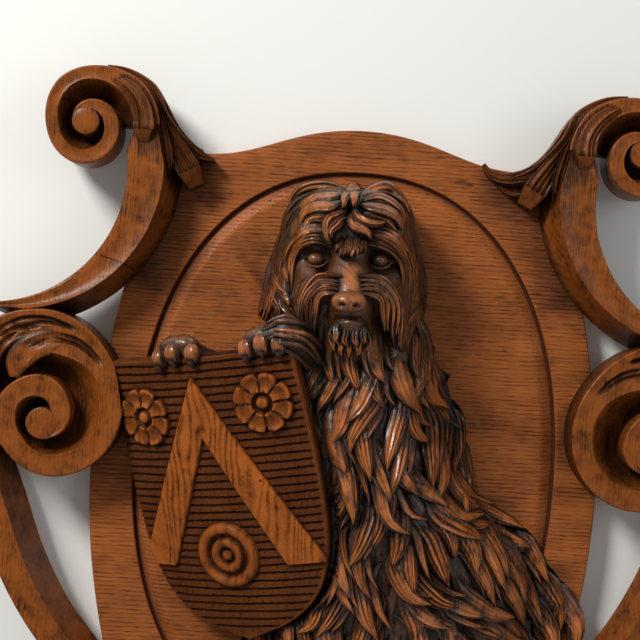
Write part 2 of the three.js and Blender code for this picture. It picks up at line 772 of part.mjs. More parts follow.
function dog() {
  const hair = joined([hairBody(headHair), hairBody(coatHair)]).subtract(shieldSpace(dogHeight));
  const parts = Object.values(dogForms).map(formBody);
  parts.push(hair, ...faceHair());
  const sockets = eyes.map(([across, down]) => formBody({
    at: [across, down, dogForward(across, down) + 1.2],
    radii: [2.6, 1.7, 2.6],
  }));
  const balls = eyes.map(([across, down]) => formBody({
    at: [across, down, dogForward(across, down) - 1.3],
    radii: [1.7, 1.2, 1.6],
  }));
  const near = dogPlace([-6, 31, 15]);
  const far = dogPlace([-8, 36, 9]);
  parts.push(foreleg([at(near.x, near.z, near.height), shieldPoint(74, -9, -10), shieldPoint(58, -9, -6)], 10.5));
  parts.push(foreleg([
    at(far.x, far.z, far.height),
    shieldPoint(44, 34, -34),
    shieldPoint(12, 18, -26),
    shieldPoint(-5, -2, -13),
  ], 9));
  parts.push(...pawReach.map(paw));
  const carved = joined(parts).subtract(joined(sockets)).add(joined(balls));
  return wholeBody(carved.intersect(frontSpace()).subtract(shieldSpace(gap + reliefHeight)));
}

const oak = (color, roughness) => new THREE.MeshStandardMaterial({ color, roughness, metalness: 0 });

const coatOfArms = new THREE.Group();
coatOfArms.add(mesh('board', board(), oak(0x8a4a26, 0.45)));
coatOfArms.add(mesh('scroll_upper_left', mirrored(upperScroll(true)), oak(0x7d3f20, 0.4)));
coatOfArms.add(mesh('scroll_upper_right', upperScroll(false), oak(0x7d3f20, 0.4)));
coatOfArms.add(mesh('scroll_lower_left', lowerLeftScroll(), oak(0x84431f, 0.4)));
coatOfArms.add(mesh('scroll_lower_right', lowerScroll(), oak(0x84431f, 0.4)));
coatOfArms.add(mesh('shield', shield(), oak(0x96491d, 0.4)));
coatOfArms.add(mesh('dog', dog(), oak(0x5a3018, 0.38)));

export default coatOfArms;
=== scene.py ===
"""A carved oak coat of arms: the board, its four scrolls, the shield and the dog, with their oak."""

import math
import random

import bmesh
import bpy
import numpy as np
from mathutils import Matrix, Vector
from mathutils.bvhtree import BVHTree


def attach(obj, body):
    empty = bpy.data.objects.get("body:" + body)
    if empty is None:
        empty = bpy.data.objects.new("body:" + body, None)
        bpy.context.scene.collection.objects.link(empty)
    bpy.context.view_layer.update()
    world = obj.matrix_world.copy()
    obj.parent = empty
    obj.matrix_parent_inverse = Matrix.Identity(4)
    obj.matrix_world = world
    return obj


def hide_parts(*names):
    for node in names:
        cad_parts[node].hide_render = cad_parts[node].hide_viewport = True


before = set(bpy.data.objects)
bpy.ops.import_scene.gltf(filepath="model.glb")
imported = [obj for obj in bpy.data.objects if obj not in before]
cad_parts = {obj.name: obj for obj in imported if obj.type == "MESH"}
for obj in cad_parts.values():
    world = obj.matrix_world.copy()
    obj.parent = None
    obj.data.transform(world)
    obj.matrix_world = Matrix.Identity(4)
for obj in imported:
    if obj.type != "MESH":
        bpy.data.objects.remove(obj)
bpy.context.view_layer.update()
rng = random.Random(1887)

MM = 0.001
BOARD_THICKNESS = 22.0
GAP = 0.3  # how far the carvings' backs stand off the board's front


# Shared helpers: points are in millimetres, x to the right, z up, and height in front of the board


def at(x, z, height):
    """Points of the frame by their place across and up, and their height in front of the board."""
    x, z, height = np.broadcast_arrays(x, z, height)
    return np.stack([x, -(BOARD_THICKNESS + height), z], axis=-1)


def smooth_along(values, place):
    """A smooth curve through a list of values or points, at places counted in its entries."""
    values = np.asarray(values, float)
    place = np.clip(np.asarray(place, float), 0, len(values) - 1)
    low = np.minimum(np.floor(place).astype(int), len(values) - 2)
    t = place - low
    if values.ndim > 1:
        t = t[..., None]
    before = values[np.maximum(low - 1, 0)]
    start, end = values[low], values[low + 1]
    after = values[np.minimum(low + 2, len(values) - 1)]
    pull, push = (end - before) / 2, (after - start) / 2
    return (
        (2 * start - 2 * end + pull + push) * t**3
        + (3 * end - 3 * start - 2 * pull - push) * t**2
        + pull * t
        + start
    )


def soft_step(value):
    """Rises smoothly from 0 to 1."""
    value = np.clip(value, 0, 1)
    return value * value * (3 - 2 * value)


def bell(value, width):
    """A soft bump of the given half width round 0."""
    return np.exp(-((value / width) ** 2))


class Carving:
    """A piece's mesh while it is made, with each point's grain and tone."""

    def __init__(self):
        self.bm = bmesh.new()
        self.grain = self.bm.verts.layers.float_vector.new("grain")
        self.tone = self.bm.verts.layers.float.new("tone")

    def skin(self, rows, tone=0.5, spread=(1.0, 1.0)):
        """A grid whose points are moved to rows of places."""
        rows = np.asarray(rows) * MM
        down, across = rows.shape[0] - 1, rows.shape[1] - 1
        places = rows.tolist()
        made = bmesh.ops.create_grid(self.bm, x_segments=across, y_segments=down, size=0.5)
        shift = rng.random() * 50
        shades = np.broadcast_to(tone, rows.shape[:2]).tolist()
        for vert in made["verts"]:
            i, j = round((vert.co.y + 0.5) * down), round((vert.co.x + 0.5) * across)
            vert.co = places[i][j]
            vert[self.grain] = (i / down * spread[0], j / across * spread[1], shift)
            vert[self.tone] = shades[i][j]

    def finish(self, name, crisp=38.0):
        """Joins what meets, closes the ends, turns the faces outwards and gives the object."""
        bm = self.bm
        bmesh.ops.remove_doubles(bm, verts=bm.verts, dist=2e-6)
        bmesh.ops.holes_fill(bm, edges=bm.edges, sides=0)
        bmesh.ops.recalc_face_normals(bm, faces=bm.faces)
        mesh = bpy.data.meshes.new(name)
        bm.to_mesh(mesh)
        bm.free()
        mesh.polygons.foreach_set("use_smooth", [True] * len(mesh.polygons))
        mesh.set_sharp_from_angle(angle=math.radians(crisp))
        made = bpy.data.objects.new(name, mesh)
        bpy.context.scene.collection.objects.link(made)
        return made


def mirror(rows):
    """The same rows on the other side of the middle."""
    return np.asarray(rows) * (-1, 1, 1)


# Board


def bezier(start, pull, push, end, count=60):
    """Points of a cubic curve, without its last one."""
    t = np.linspace(0, 1, count, endpoint=False)[:, None]
    start, pull, push, end = (np.array(p, float) for p in (start, pull, push, end))
    return start * (1 - t) ** 3 + 3 * pull * t * (1 - t) ** 2 + 3 * push * t * t * (1 - t) + end * t**3


CORNER, SHOULDER = (158.0, 237.0), (125.0, 241.0)
OVAL = (168.7, 232.8)

# Rings of the board's front, from its edge inwards: how far in, how high and, in the groove, the shade, which
# is painted shade: darker in the groove's floor and walls, a little lighter on its outer slope
EDGE_RINGS = [(1.2, -22), (0, -20.8), (0, -2.0), (0.4, -0.9), (1.1, -0.25), (2.2, 0), (7, 0)]
GROOVE_RINGS = [
    (-3, 0, 0.5), (-0.6, 0, 0.5), (0.2, -0.5, 0.2), (0.9, -3.9, -0.4), (1.6, -4.5, -0.5), (3, -4.4, 0.1),
    (5.5, -3.4, 0.42), (8.5, -1.7, 0.55), (11, -0.5, 0.58), (12.6, -0.05, 0.5), (14, 0, 0.5), (60, 0, 0.5),
    (120, 0, 0.5), (167, 0, 0.5),
]


def board_outline():
    """The board's outline, anticlockwise from the middle of its foot."""
    top, half, widest = 266.5, 202.5, -15.0
    hollow_pull, crown_pull = SHOULDER[0] * 0.64, SHOULDER[0] * 0.46

    def quarter(way, first_pull, corner_pull):
        """From the widest place up to the crown, or down to the foot if way is -1."""
        corner, shoulder = (CORNER[0], way * CORNER[1]), (SHOULDER[0], way * SHOULDER[1])
        return np.concatenate([
            bezier((half, widest), (half, first_pull), (half * 0.94, corner_pull), corner),
            bezier(corner, corner, shoulder, shoulder, 12),
            bezier(shoulder, (hollow_pull, shoulder[1]), (crown_pull, way * top), (0, way * top)),
        ])

    right = np.concatenate([quarter(-1, -79.0, -149.31)[::-1], quarter(1, 47.4, 118.5), [[0, top]]])
    left = right[::-1] * (-1, 1)
    return np.concatenate([[[0, -top]], right, left[1:]])


def oval(angle, inset):
    """The squarish oval of the groove, moved in by a distance."""

    def bend(value):
        return np.sign(value) * np.abs(value) ** (2 / 2.225)

    across, up = OVAL[0] - inset, OVAL[1] - inset
    return np.stack([across * bend(np.cos(angle)), up * bend(np.sin(angle))], axis=-1)


def board():
    """The flat panel with its rounded edge and the oval groove."""
    outline = board_outline()
    turn = np.unwrap(np.arctan2(outline[:, 1], outline[:, 0]))
    order = np.argsort(turn)
    angles = np.linspace(turn[0], turn[0] + 2 * math.pi, 481)
    x, z = np.transpose([CORNER, SHOULDER])
    corners = np.arctan2([*z, *z], [*x, *-x])
    for corner in (*corners, *-corners):
        nearest = np.argmin(np.abs((angles - corner + math.pi) % (2 * math.pi) - math.pi))
        angles[nearest] += (corner - angles[nearest] + math.pi) % (2 * math.pi) - math.pi
    reach = np.hypot(outline[:, 0], outline[:, 1])[order]
    radius = np.interp((angles - turn[0]) % (2 * math.pi) + turn[0], turn[order], reach, period=2 * math.pi)
    edge = np.stack([radius * np.cos(angles), radius * np.sin(angles)], axis=-1)
    inward = edge / radius[:, None]
    oval_angle = np.arctan2(np.sin(angles) / OVAL[1], np.cos(angles) / OVAL[0])
    rings = []
    for inset, height in EDGE_RINGS:
        flat = edge - inward * inset
        rings.append(at(flat[:, 0], flat[:, 1], height))
    shades = [0.5] * len(rings)
    # The groove's rings bring painted shade
    for inset, height, shade in GROOVE_RINGS:
        flat = oval(oval_angle, inset)
        rings.append(at(flat[:, 0], flat[:, 1], height))
        shades.append(shade)
    rings.append(np.broadcast_to(at(0.0, 0.0, 0.0), rings[0].shape))
    shades.append(0.5)
    carving = Carving()
    carving.skin(rings, tone=np.array(shades)[:, None])
    return carving.finish("board_panel", crisp=30)


# Scrolls. An eye is its place across and up and its button's radius, for the scrolls on the right

UPPER_EYE, LOWER_EYE, FOOT_EYE = (216.5, 256.5, 10.8), (236.5, 20.5, 12.4), (108.0, -238.0, 8.5)
FACE = 38.0  # how far the flat faces stand out
FLOOR = 11.0  # the bottom of the coves


def band(eye, hand, start, step, radii, widths, across=8, turn=4.0):
    """A flat-faced band that winds round an eye, with the deep cove beside it.

    The radii of its outer edge and its widths are given at every step degrees from the start. Its face has
    across columns, and a row stands every turn degrees.
    """
    end = step * (len(radii) - 1)
    turns = np.arange(0, end + 0.1, turn)
    outer = smooth_along(radii, turns / step)
    after = np.where(turns + 360 <= end, smooth_along(radii, (turns + 360) / step), eye[2])
    width = np.minimum(smooth_along(widths, turns / step), outer - 1.2)
    reach = np.minimum(np.maximum(outer - after + 2, width + 3), outer - 0.4)
    rim = np.minimum(1.6, width * 0.4)
    low = np.zeros_like(rim)
    profile = [(low, low + GAP), (low, FACE - rim)]
    for bend in (30, 60, 90):
        a = math.radians(bend)
        profile.append((rim * (1 - math.cos(a)), FACE - rim * (1 - math.sin(a))))
    for share in np.linspace(0, 1, across + 1)[1:-1]:
        profile.append((rim + (width - rim) * share, low + FACE - 0.5 * math.sin(math.pi * share)))
    profile += [(width - 0.5, low + FACE + 0.1), (width, low + FACE - 0.3)]
    for share in (0.03, 0.1, 0.22, 0.4, 0.6, 0.8, 1):
        sink = math.sin(min(share * 1.15, 1) * math.pi / 2)
        profile.append((width + (reach - width) * share, low + FACE - (FACE - FLOOR) * sink))
    profile += [(reach, low + GAP + 0.4), profile[0]]
    a = np.radians(start + turns)
    columns = [
        at(eye[0] + hand * np.sin(a) * (outer - inward), eye[1] + np.cos(a) * (outer - inward), height)
        for inward, height in profile
    ]
    return np.stack(columns, axis=1)


def button(eye):
    """The flat disc at the middle of a volute, and its shade."""
    x, z, radius = eye
    top = FACE + 0.1
    a = np.linspace(0, 2 * math.pi, 49)
    rows = []
    rings = ((1, GAP), (1, top - 1.2), (0.97, top - 0.4), (0.9, top), (0.5, top + 0.3), (0, top + 0.4))
    for share, height in rings:
        rows.append(at(x + radius * share * np.cos(a), z + radius * share * np.sin(a), height))
    return np.array(rows), 0.5


def rubbed_and_lit(rows, edges, shade=0.5):
    """Rows of places with their shades, which are brighter along the columns named as edges: wear and painted
    highlight.
    """
    shades = np.array(np.broadcast_to(shade, rows.shape[:2]), float)
    shades[:, list(edges)] += 0.6
    return rows, shades


def incised(rows, lines):
    """Rows of places on a face with long cuts let into it, and their shades, darker in the cuts as painted
    shade.
    """
    half, depth, samples = 1.9, 3.2, 90
    rows = np.array(rows, float)
    shades = np.full(rows.shape[:2], 0.5)
    for line in lines:
        path = smooth_along(line, np.linspace(0, len(line) - 1, samples))
        flat = rows[..., [0, 2]][..., None, :] - path
        distance = np.hypot(flat[..., 0], flat[..., 1])
        nearest = distance.argmin(axis=-1) / (samples - 1)
        fade = np.minimum(1, np.sin(np.pi * nearest) * 3 + 0.1)
        on_face = rows[..., 1] < -(BOARD_THICKNESS + FACE - 4)
        deep = np.where(on_face, fade * np.clip(1 - distance.min(axis=-1) / half, 0, 1), 0)
        rows[..., 1] += depth * deep
        # Painted shade in the cuts
        shades -= 0.5 * deep
    return rows, shades


def volute(*shape, across=8, turn=4.0, cuts=()):
    """A band with its cuts, its two edges lightened by wear and painted highlight, and its shades, darker in
    the cuts as painted shade.
    """
    rows, shades = incised(band(*shape, across, turn), cuts)
    return rubbed_and_lit(rows, (3, across + 4), shades)


def arm_rows(face, ridge, foot):
    """A plain arm: a slightly hollow face, a crisp ridge and a side that slopes to its foot."""
    face, ridge, foot = (np.asarray(line, float) for line in (face, ridge, foot))
    columns = [at(face[:, 0], face[:, 1], GAP), at(face[:, 0], face[:, 1], FACE - 2.6)]
    for share in (0.04, 0.1, 0.3, 0.5, 0.7, 0.9, 0.97, 1.0):
        line = face + (ridge - face) * share
        height = FACE - 1.5 * (1 - share) - 2.2 * math.sin(math.pi * share) - (0.8 if share < 0.05 else 0)
        columns.append(at(line[:, 0], line[:, 1], height))
    for share in (0.03, 0.2, 0.45, 0.7, 0.9, 1.0):
        line = ridge + (foot - ridge) * share
        height = FACE + (GAP - FACE) * share - 1.8 * math.sin(math.pi * share) - 0.3
        columns.append(at(line[:, 0], line[:, 1], max(height, GAP)))
    columns.append(columns[0])
    return np.stack(columns, axis=1)


ARM_JOINT = 0.49  # where along the left arm its glued joint lies
ARM_EDGES = (3, 9)  # the columns of an arm's rows that are its edges, lightened by wear and painted highlight


def upper_arm(side):
    """The upper scroll's arm, from under the volute to its thin tail. The left one's glued joint shows."""
    share = np.sort(np.concatenate([np.linspace(0, 1, 45), ARM_JOINT + np.array([-0.005, 0.0, 0.005])]))
    shades = np.pad(np.where((share == ARM_JOINT) & (side < 0), -0.1, 0.5), 1, mode="edge")

    def line(head, centre, radius, first, last, tail):
        angle = np.radians(first + (last - first) * share)
        curve = np.stack([centre[0] + radius * np.cos(angle), centre[1] + radius * np.sin(angle)], axis=-1)
        return np.concatenate([[head], curve, [tail]])

    rows = arm_rows(
        line((177, 258), (288, 218), 106, 170, 266, (292, 112)),
        line((161, 256), (268, 221.6), 114, 178, 264, (290, 110)),
        line((151, 262), (275.4, 227.1), 133, 180, 262, (288, 107)),
    )
    return rubbed_and_lit(rows, ARM_EDGES, shades[:, None])


def lower_arm():
    """The long arm from the lower volute to the foot volute."""
    middle = [
        (291, 34), (281, -6), (267, -46), (250, -88), (226, -129), (193, -169), (166, -204), (153, -238),
    ]
    half = [13, 15, 16.5, 16, 15, 14, 12.5, 10]
    place = np.linspace(0, len(middle) - 1, 57)
    line, width = smooth_along(middle, place), smooth_along(half, place)[:, None]
    ahead = np.gradient(line, axis=0)
    ahead /= np.linalg.norm(ahead, axis=1)[:, None]
    side = np.stack([-ahead[:, 1], ahead[:, 0]], axis=-1) * width
    return rubbed_and_lit(arm_rows(line + side, line - 0.4 * side, line - side), ARM_EDGES)


def lobe(path, half, flutes=(-1, 0, 1), depth=2.2, share=1.0, bevel=0.0):
    """A carved lobe of a leaf: a path of x, z and height with its half widths, flutes and bevelled end.

    Only its first share is made, where its end is lost. Its shades come with its places: painted shade,
    darker in the flutes, along its outer edges and on its foot and sides, and a little darker on the bevelled
    end.
    """
    place = np.linspace(0, share, 34)
    if bevel:
        place = np.sort(np.append(place, (1 - bevel) * share + np.array([0.0, 0.006])))
    line = smooth_along(path, place * (len(path) - 1))
    reach = np.maximum(smooth_along(half, place * (len(half) - 1)), 0.3)
    ahead = np.gradient(line[:, :2], axis=0)
    ahead /= np.linalg.norm(ahead, axis=1)[:, None] + 1e-9
    side = np.stack([ahead[:, 1], -ahead[:, 0]], axis=-1)
    on_bevel = (place > (1 - bevel) * share + 0.003) & (bevel > 0)
    fade = np.where(on_bevel, 0.0, 1.0) * np.minimum(1, place * 4 + 0.3)
    fade = fade * np.minimum(1, reach / 3.5)
    foot = np.maximum(np.minimum(line[:, 2] - 3, FACE - 16), GAP)

    def beside(distance, height):
        return at(line[:, 0] + side[:, 0] * distance, line[:, 1] + side[:, 1] * distance, height)

    profile = []
    for first, last in zip(flutes[:-1], flutes[1:]):
        for part in np.linspace(0, 1, 7)[:-1]:
            hollow = math.sin(math.pi * part) ** 0.7 * min(1, 2 * (last - first))
            profile.append((first + (last - first) * part, hollow))
    profile.append((1.0, 0.0))
    dark = 0.3 + 0 * place
    made, shades = [beside(-reach, foot)], [dark]
    for q, hollow in profile:
        edge = 1.8 * max(abs(q) - 0.9, 0) / 0.1
        height = line[:, 2] - depth * hollow * fade - edge * np.minimum(1, reach / 5)
        made.append(beside(reach * q * 0.99, np.maximum(height, GAP + 1)))
        # Painted shade: darker in the flutes and along the outer edges
        fluted = 0.75 - 0.5 * hollow * np.minimum(1, depth) - 0.3 * (abs(q) > 0.95)
        shades.append(np.where(on_bevel, 0.4, fluted))
    made += [beside(reach, foot), beside(reach * 0.9, GAP), beside(reach * -0.9, GAP), made[0]]
    shades += [dark] * 4
    return np.stack(made, axis=1), np.stack(shades, axis=1)


BLUNT_LOBE = dict(
    path=[(198, 293, 37), (186, 285, 41), (178, 277, 43), (173, 268, 43.5), (171, 259, 43.5), (171, 252, 43),
          (171, 242, 35)],
    half=[5, 6, 6.8, 7.2, 7.8, 7.8, 4.4], flutes=(-1, -0.5, -0.1, 1), bevel=1 / 6,
)
INNER_LOBE = dict(
    path=[(167, 282, 37), (162.5, 270, 38), (159, 257, 38), (156.5, 245, 37), (154.5, 234, 35.5),
          (153, 224, 33), (151, 216, 28)],
    half=[1.5, 2.6, 4.2, 5.6, 6.4, 4.6, 0.7], flutes=(-1, -0.1, 0.5, 1), depth=2.8,
)
MIDDLE_LOBE = dict(
    path=[(168, 283, 36), (160.5, 268, 35.5), (155.5, 257, 34.5), (148.5, 245.5, 33), (141, 233.5, 31),
          (135.5, 224, 29.5), (129.5, 212.5, 20)],
    half=[1.5, 2.6, 4.2, 6.4, 8.4, 9.2, 6.0], flutes=(-1, -0.45, 0, 0.45, 1), bevel=1 / 6, depth=2.8,
)
OUTER_LOBE = dict(
    path=[(177, 292, 34), (165, 281, 34), (157.5, 269, 32), (150, 256.5, 29), (140, 245.5, 26),
          (128, 237.5, 23), (117, 234, 19)],
    half=[3, 4.4, 5, 5, 4.6, 3.4, 0.7], flutes=(-1, 0.1, 1), depth=2.4,
)
LOW_LOBE = dict(
    path=[(166, 271, 29), (159, 258, 26), (146, 240, 21), (132, 228, 16), (118, 226, 11), (108.5, 228.5, 9)],
    half=[3, 5, 7, 7, 4.5, 0.8],
)
POINT_LOBE = dict(
    path=[(203, 300, 35), (190, 296.5, 36.5), (177, 290, 37), (166, 280, 36), (159, 265, 33), (147, 249, 29),
          (134, 239, 24), (117, 234, 19), (103, 236, 16), (96, 244.5, 16)],
    half=[4, 6, 6.5, 6.5, 6, 6, 5.5, 4.5, 3, 0.6], flutes=(-1, -0.2, 1),
)
LOST_POINT = 0.71
LOWER_LOBES = [
    dict(path=[(219, 85, 37.2), (230.9, 84.8, 38.4), (241.9, 81.8, 38.9), (251.3, 75.6, 39.4),
               (257.8, 66.3, 39.6), (259.6, 54.5, 36)],
         half=[5, 9.5, 10.5, 10.5, 9.5, 4.5], flutes=(-1, 1), depth=0.4),
    dict(path=[(250, 92, 38), (266, 88, 41), (277, 76, 42), (281, 61, 41), (277, 46, 38)],
         half=[5, 8, 8.5, 7.5, 2], flutes=(-1, 0, 1)),
]


def from_eye(eye, places):
    """Places beside the right lower volute, from angles off straight up and distances from its eye."""
    turned = [(math.radians(angle), distance) for angle, distance in places]
    return [(eye[0] - distance * math.sin(a), eye[1] + distance * math.cos(a)) for a, distance in turned]


LOWER_CUTS = [from_eye(LOWER_EYE, places) for places in (
    [(42, 65.5), (29, 68.6), (15, 70.3), (-1, 67.5), (-9, 64.6), (-18, 58)],
    [(42, 64.5), (23, 66.4), (6, 65.4), (-3, 62.6), (-10, 58.4), (-20, 51)],
    [(16, 77.3), (9, 78.8), (2, 80.8), (-5, 82), (-15, 82.6), (-27, 79), (-40, 74)],
    [(16, 77), (5, 78), (-4, 78), (-20, 76), (-28, 73), (-40, 67)],
    [(-4, 76), (-13, 74.6), (-21, 72.6), (-30, 69), (-40, 61)],
)]


def upper_scroll(name, side):
    """The upper scroll: volute, arm and leaf. On the left the leaf has lost its end and its lowest lobe."""
    whole = side > 0
    parts = [
        volute(UPPER_EYE, 1, -90, 90, [58, 45, 31.5, 33.5, 26, 16.5, 10], [21, 13, 10, 10.5, 12, 8, 5]),
        button(UPPER_EYE),
        upper_arm(side),
        lobe(**BLUNT_LOBE),
        lobe(**INNER_LOBE),
        lobe(**MIDDLE_LOBE),
        lobe(**OUTER_LOBE),
    ]
    if whole:
        parts.append(lobe(**LOW_LOBE))
    parts.append(lobe(**POINT_LOBE, share=1.0 if whole else LOST_POINT))
    return scroll(name, parts, side)


def lower_scroll(name, side):
    """The lower scroll: large volute with its leaf, long arm and foot volute."""
    parts = [
        volute(
            LOWER_EYE, -1, -90, 45,
            [66, 86, 88.5, 73.5, 60.5, 48.5, 40, 35.5, 38, 39, 37.5, 28, 20.5, 14.5, 12.3],
            [22, 20, 33, 19, 17, 17.5, 17, 17, 18, 16, 18, 17.5, 10, 4.5, 2],
            across=34, turn=2.0, cuts=LOWER_CUTS,
        ),
        button(LOWER_EYE),
        lower_arm(),
    ]
    for each in LOWER_LOBES:
        rows, shades = lobe(**each)
        parts.append((incised(rows, LOWER_CUTS)[0], shades))
    parts += [
        volute(FOOT_EYE, 1, 85, 90, [55, 41, 34, 29, 22.5, 14.5, 9], [20, 13, 10, 9.5, 9, 6, 4]),
        button(FOOT_EYE),
    ]
    return scroll(name, parts, side, trim=side < 0)


def inside_blank(rows, back):
    """Eases the outermost curves into the blank's width and height, and keeps the parts' backs apart."""
    rows = np.array(rows, float)
    rows[..., 0] -= 0.19 * np.maximum(rows[..., 0] - 290, 0)
    rows[..., 2] -= 0.16 * np.maximum(rows[..., 2] - 288, 0)
    rows[..., 2] = np.maximum(rows[..., 2], -278.7)
    rows[..., 1] = np.minimum(rows[..., 1], -(BOARD_THICKNESS + back))
    return rows


def scroll(name, parts, side, trim=False):
    """One scroll as a piece; the lower left one is let in where the shield's corner laps over it."""
    carving = Carving()
    for number, (rows, shades) in enumerate(parts):
        rows = inside_blank(rows, GAP + 0.15 * number)
        rows = rows if side > 0 else mirror(rows)
        carving.skin(behind_shield(rows) if trim else rows, tone=shades)
    return carving.finish(name)


# Shield, in its own frame: s across, t down from the top edge and e out from its bowed face

SHIELD_BOW, SHIELD_WIDTH, SHIELD_HEIGHT, SHIELD_THICKNESS = 347.0, 159.0, 226.0, 13.0
SHIELD_HALF_ANGLE = math.asin(SHIELD_WIDTH / 2 / SHIELD_BOW)
SHIELD_TURN = np.array(
    (Matrix.Rotation(math.radians(-27.2), 3, "Z") @ Matrix.Rotation(math.radians(-7.9), 3, "Y"))
    @ Matrix.Rotation(math.radians(15.7), 3, "X")
)
SHIELD_ORIGIN = np.array([-116.0, -(BOARD_THICKNESS + 72.0), 81.6])


def on_shield(s, t, e):
    """Points of the frame from places on the shield."""
    s, t, e = np.broadcast_arrays(np.asarray(s, float), t, e)
    angle = np.arcsin(s / SHIELD_BOW)
    local = np.stack([
        np.sin(angle) * (SHIELD_BOW + e),
        math.cos(SHIELD_HALF_ANGLE) * SHIELD_BOW - np.cos(angle) * (SHIELD_BOW + e),
        -t,
    ], axis=-1)
    return local @ SHIELD_TURN.T + SHIELD_ORIGIN


def shield_half():
    """The shield's half width at each place down it, as two lists."""
    half, belly, tall = SHIELD_WIDTH / 2, SHIELD_WIDTH / 2 + 3.5, SHIELD_HEIGHT
    t = np.linspace(0, 1, 60)
    first = np.stack([
        half * (1 - t) ** 2 + 2 * belly * t * (1 - t) + belly * t * t,
        2 * 0.22 * tall * t * (1 - t) + 0.44 * tall * t * t,
    ], axis=-1)
    second = bezier((belly, 0.44 * tall), (belly, 0.86 * tall), (0.75 * half, 0.92 * tall), (0, tall), 80)
    whole = np.concatenate([first, second[1:], [[0.3, tall]]])
    return whole[:, 1], whole[:, 0]


HALF_DOWN, HALF_ACROSS = shield_half()


def half_at(t):
    """The shield's half width at a place down it."""
    return np.interp(t, HALF_DOWN, HALF_ACROSS)


CHEVRON = dict(s=-4.0, top=15.0, depth=47.0, outer=0.545, inner=0.48, rise=2.6)
ROSES = [(-54.0, 44.0), (51.0, 38.5)]
RING = (-3.0, 156.0)
BEETLE_HOLE = (37.5, 97.5)
FIRST_LINE, LINE_PITCH = 4.6, 6.2


def shield_body():
    """The bowed field with its cut lines and its edge, and its shades: painted shade in the cut lines."""
    cut, depth, across = 1.35, 1.7, 150
    last = SHIELD_HEIGHT - 6
    rows_down = [0.0, 0.7]
    line = FIRST_LINE
    while line < last:
        rows_down += [line - cut, line - 0.45, line + 0.45, line + cut]
        line += LINE_PITCH
    rows_down += [SHIELD_HEIGHT - 2.5, SHIELD_HEIGHT - 0.6]
    rows, shades = [], []
    for t in rows_down:
        half = max(half_at(t) - 0.05, 0.4)
        s = np.linspace(-half, half, across)
        number = (t - FIRST_LINE) / LINE_PITCH
        near = abs(number - round(number)) * LINE_PITCH
        number = round(number)
        lined = 3 < t < last
        e = np.zeros(across)
        shade = np.full(across, 0.31)
        if near < 0.5 and lined:
            chatter = 0.3 * np.sin(s * 0.83 + 2.7 * number) * np.sin(s * 0.31 + 1.3 * number * number)
            margin = np.clip(np.minimum(half - 2.6 - s, 1.5) / 1.5, 0, 1)
            e = -(depth + chatter) * margin
            # Painted shade in the cut line
            shade = 0.31 - 0.31 * margin
        shift = 0.22 * np.sin(s * 0.13 + 1.9 * number) + 0.13 * np.sin(s * 0.9 + 4.1 * number * number)
        e = e - 0.9 * (np.abs(s) > half - 0.7) - (0.9 if t < 0.5 else 0)
        front = on_shield(s, t + (shift if lined else 0), e)
        back = on_shield(s[::-1][[0, 4, across // 2, across - 5, across - 1]], t, -SHIELD_THICKNESS)
        right_side, left_side = on_shield(s[-1:], t, -2.0), on_shield(s[:1], t, -2.0)
        rows.append(np.concatenate([front, right_side, back, left_side, front[:1]]))
        shades.append(np.concatenate([shade, np.full(7, 0.4), shade[:1]]))
    return np.array(rows), np.array(shades)


def chevron_bar(side):
    """One arm of the chevron, from the point down to the shield's edge."""
    middle, top = CHEVRON["s"], CHEVRON["top"]
    low, high = -1.5, CHEVRON["rise"]
    rows = []
    for t in np.linspace(top + 0.01, top + 150, 60):
        outer = CHEVRON["outer"] * (t - top)
        inner = max(CHEVRON["inner"] * (t - top - CHEVRON["depth"]), 0)
        limit = half_at(t) - 1.2 - side * middle
        outer, inner = min(outer, limit), min(inner, limit - 0.05)
        if inner >= limit - 0.06 and t > 120:
            break
        bevel = min(0.9, (outer - inner) * 0.3)
        inner_bevel = bevel if inner > 0 else 0
        places = [
            (outer, low), (outer, high - 0.8), (outer - bevel * 0.4, high - 0.25), (outer - bevel, high),
        ]
        for share in (0.25, 0.5, 0.75):
            places.append((outer - bevel + (inner + inner_bevel - outer + bevel) * share, high))
        places += [
            (inner + inner_bevel, high), (inner + inner_bevel * 0.4, high - 0.25 * (inner > 0)),
            (inner, high - 0.8 * (inner > 0)), (inner, low), (outer, low),
        ]
        s, e = np.transpose(places)
        rows.append(on_shield(middle + side * s, t, e))
    return np.array(rows)


# Rings of a rose, from its rim inwards: share of its radius, height, depth of the petals' cups and shade,
# which is painted light and shade: lighter rims and button, darker cups and sunk ring
ROSE_RINGS = [
    (1.0, -1.5, 0, 0.3), (1.0, 1.4, 0, 0.4), (0.985, 2.7, 0, 0.6), (0.95, 3.6, 0.1, 0.85),
    (0.9, 3.7, 0.35, 0.7), (0.82, 3.2, 0.8, 0.45), (0.72, 2.7, 1.1, 0.4), (0.6, 2.6, 1.0, 0.45),
    (0.5, 3.0, 0.5, 0.6), (0.43, 3.7, 0, 0.8), (0.38, 3.4, 0, 0.6), (0.34, 1.2, 0, 0.2),
    (0.3, 0.4, 0, 0.12), (0.25, 0.4, 0, 0.12), (0.215, 1.2, 0, 0.3), (0.19, 3.0, 0, 0.6),
    (0.14, 4.2, 0, 0.75), (0.08, 4.8, 0, 0.8), (0, 5.0, 0, 0.8),
]


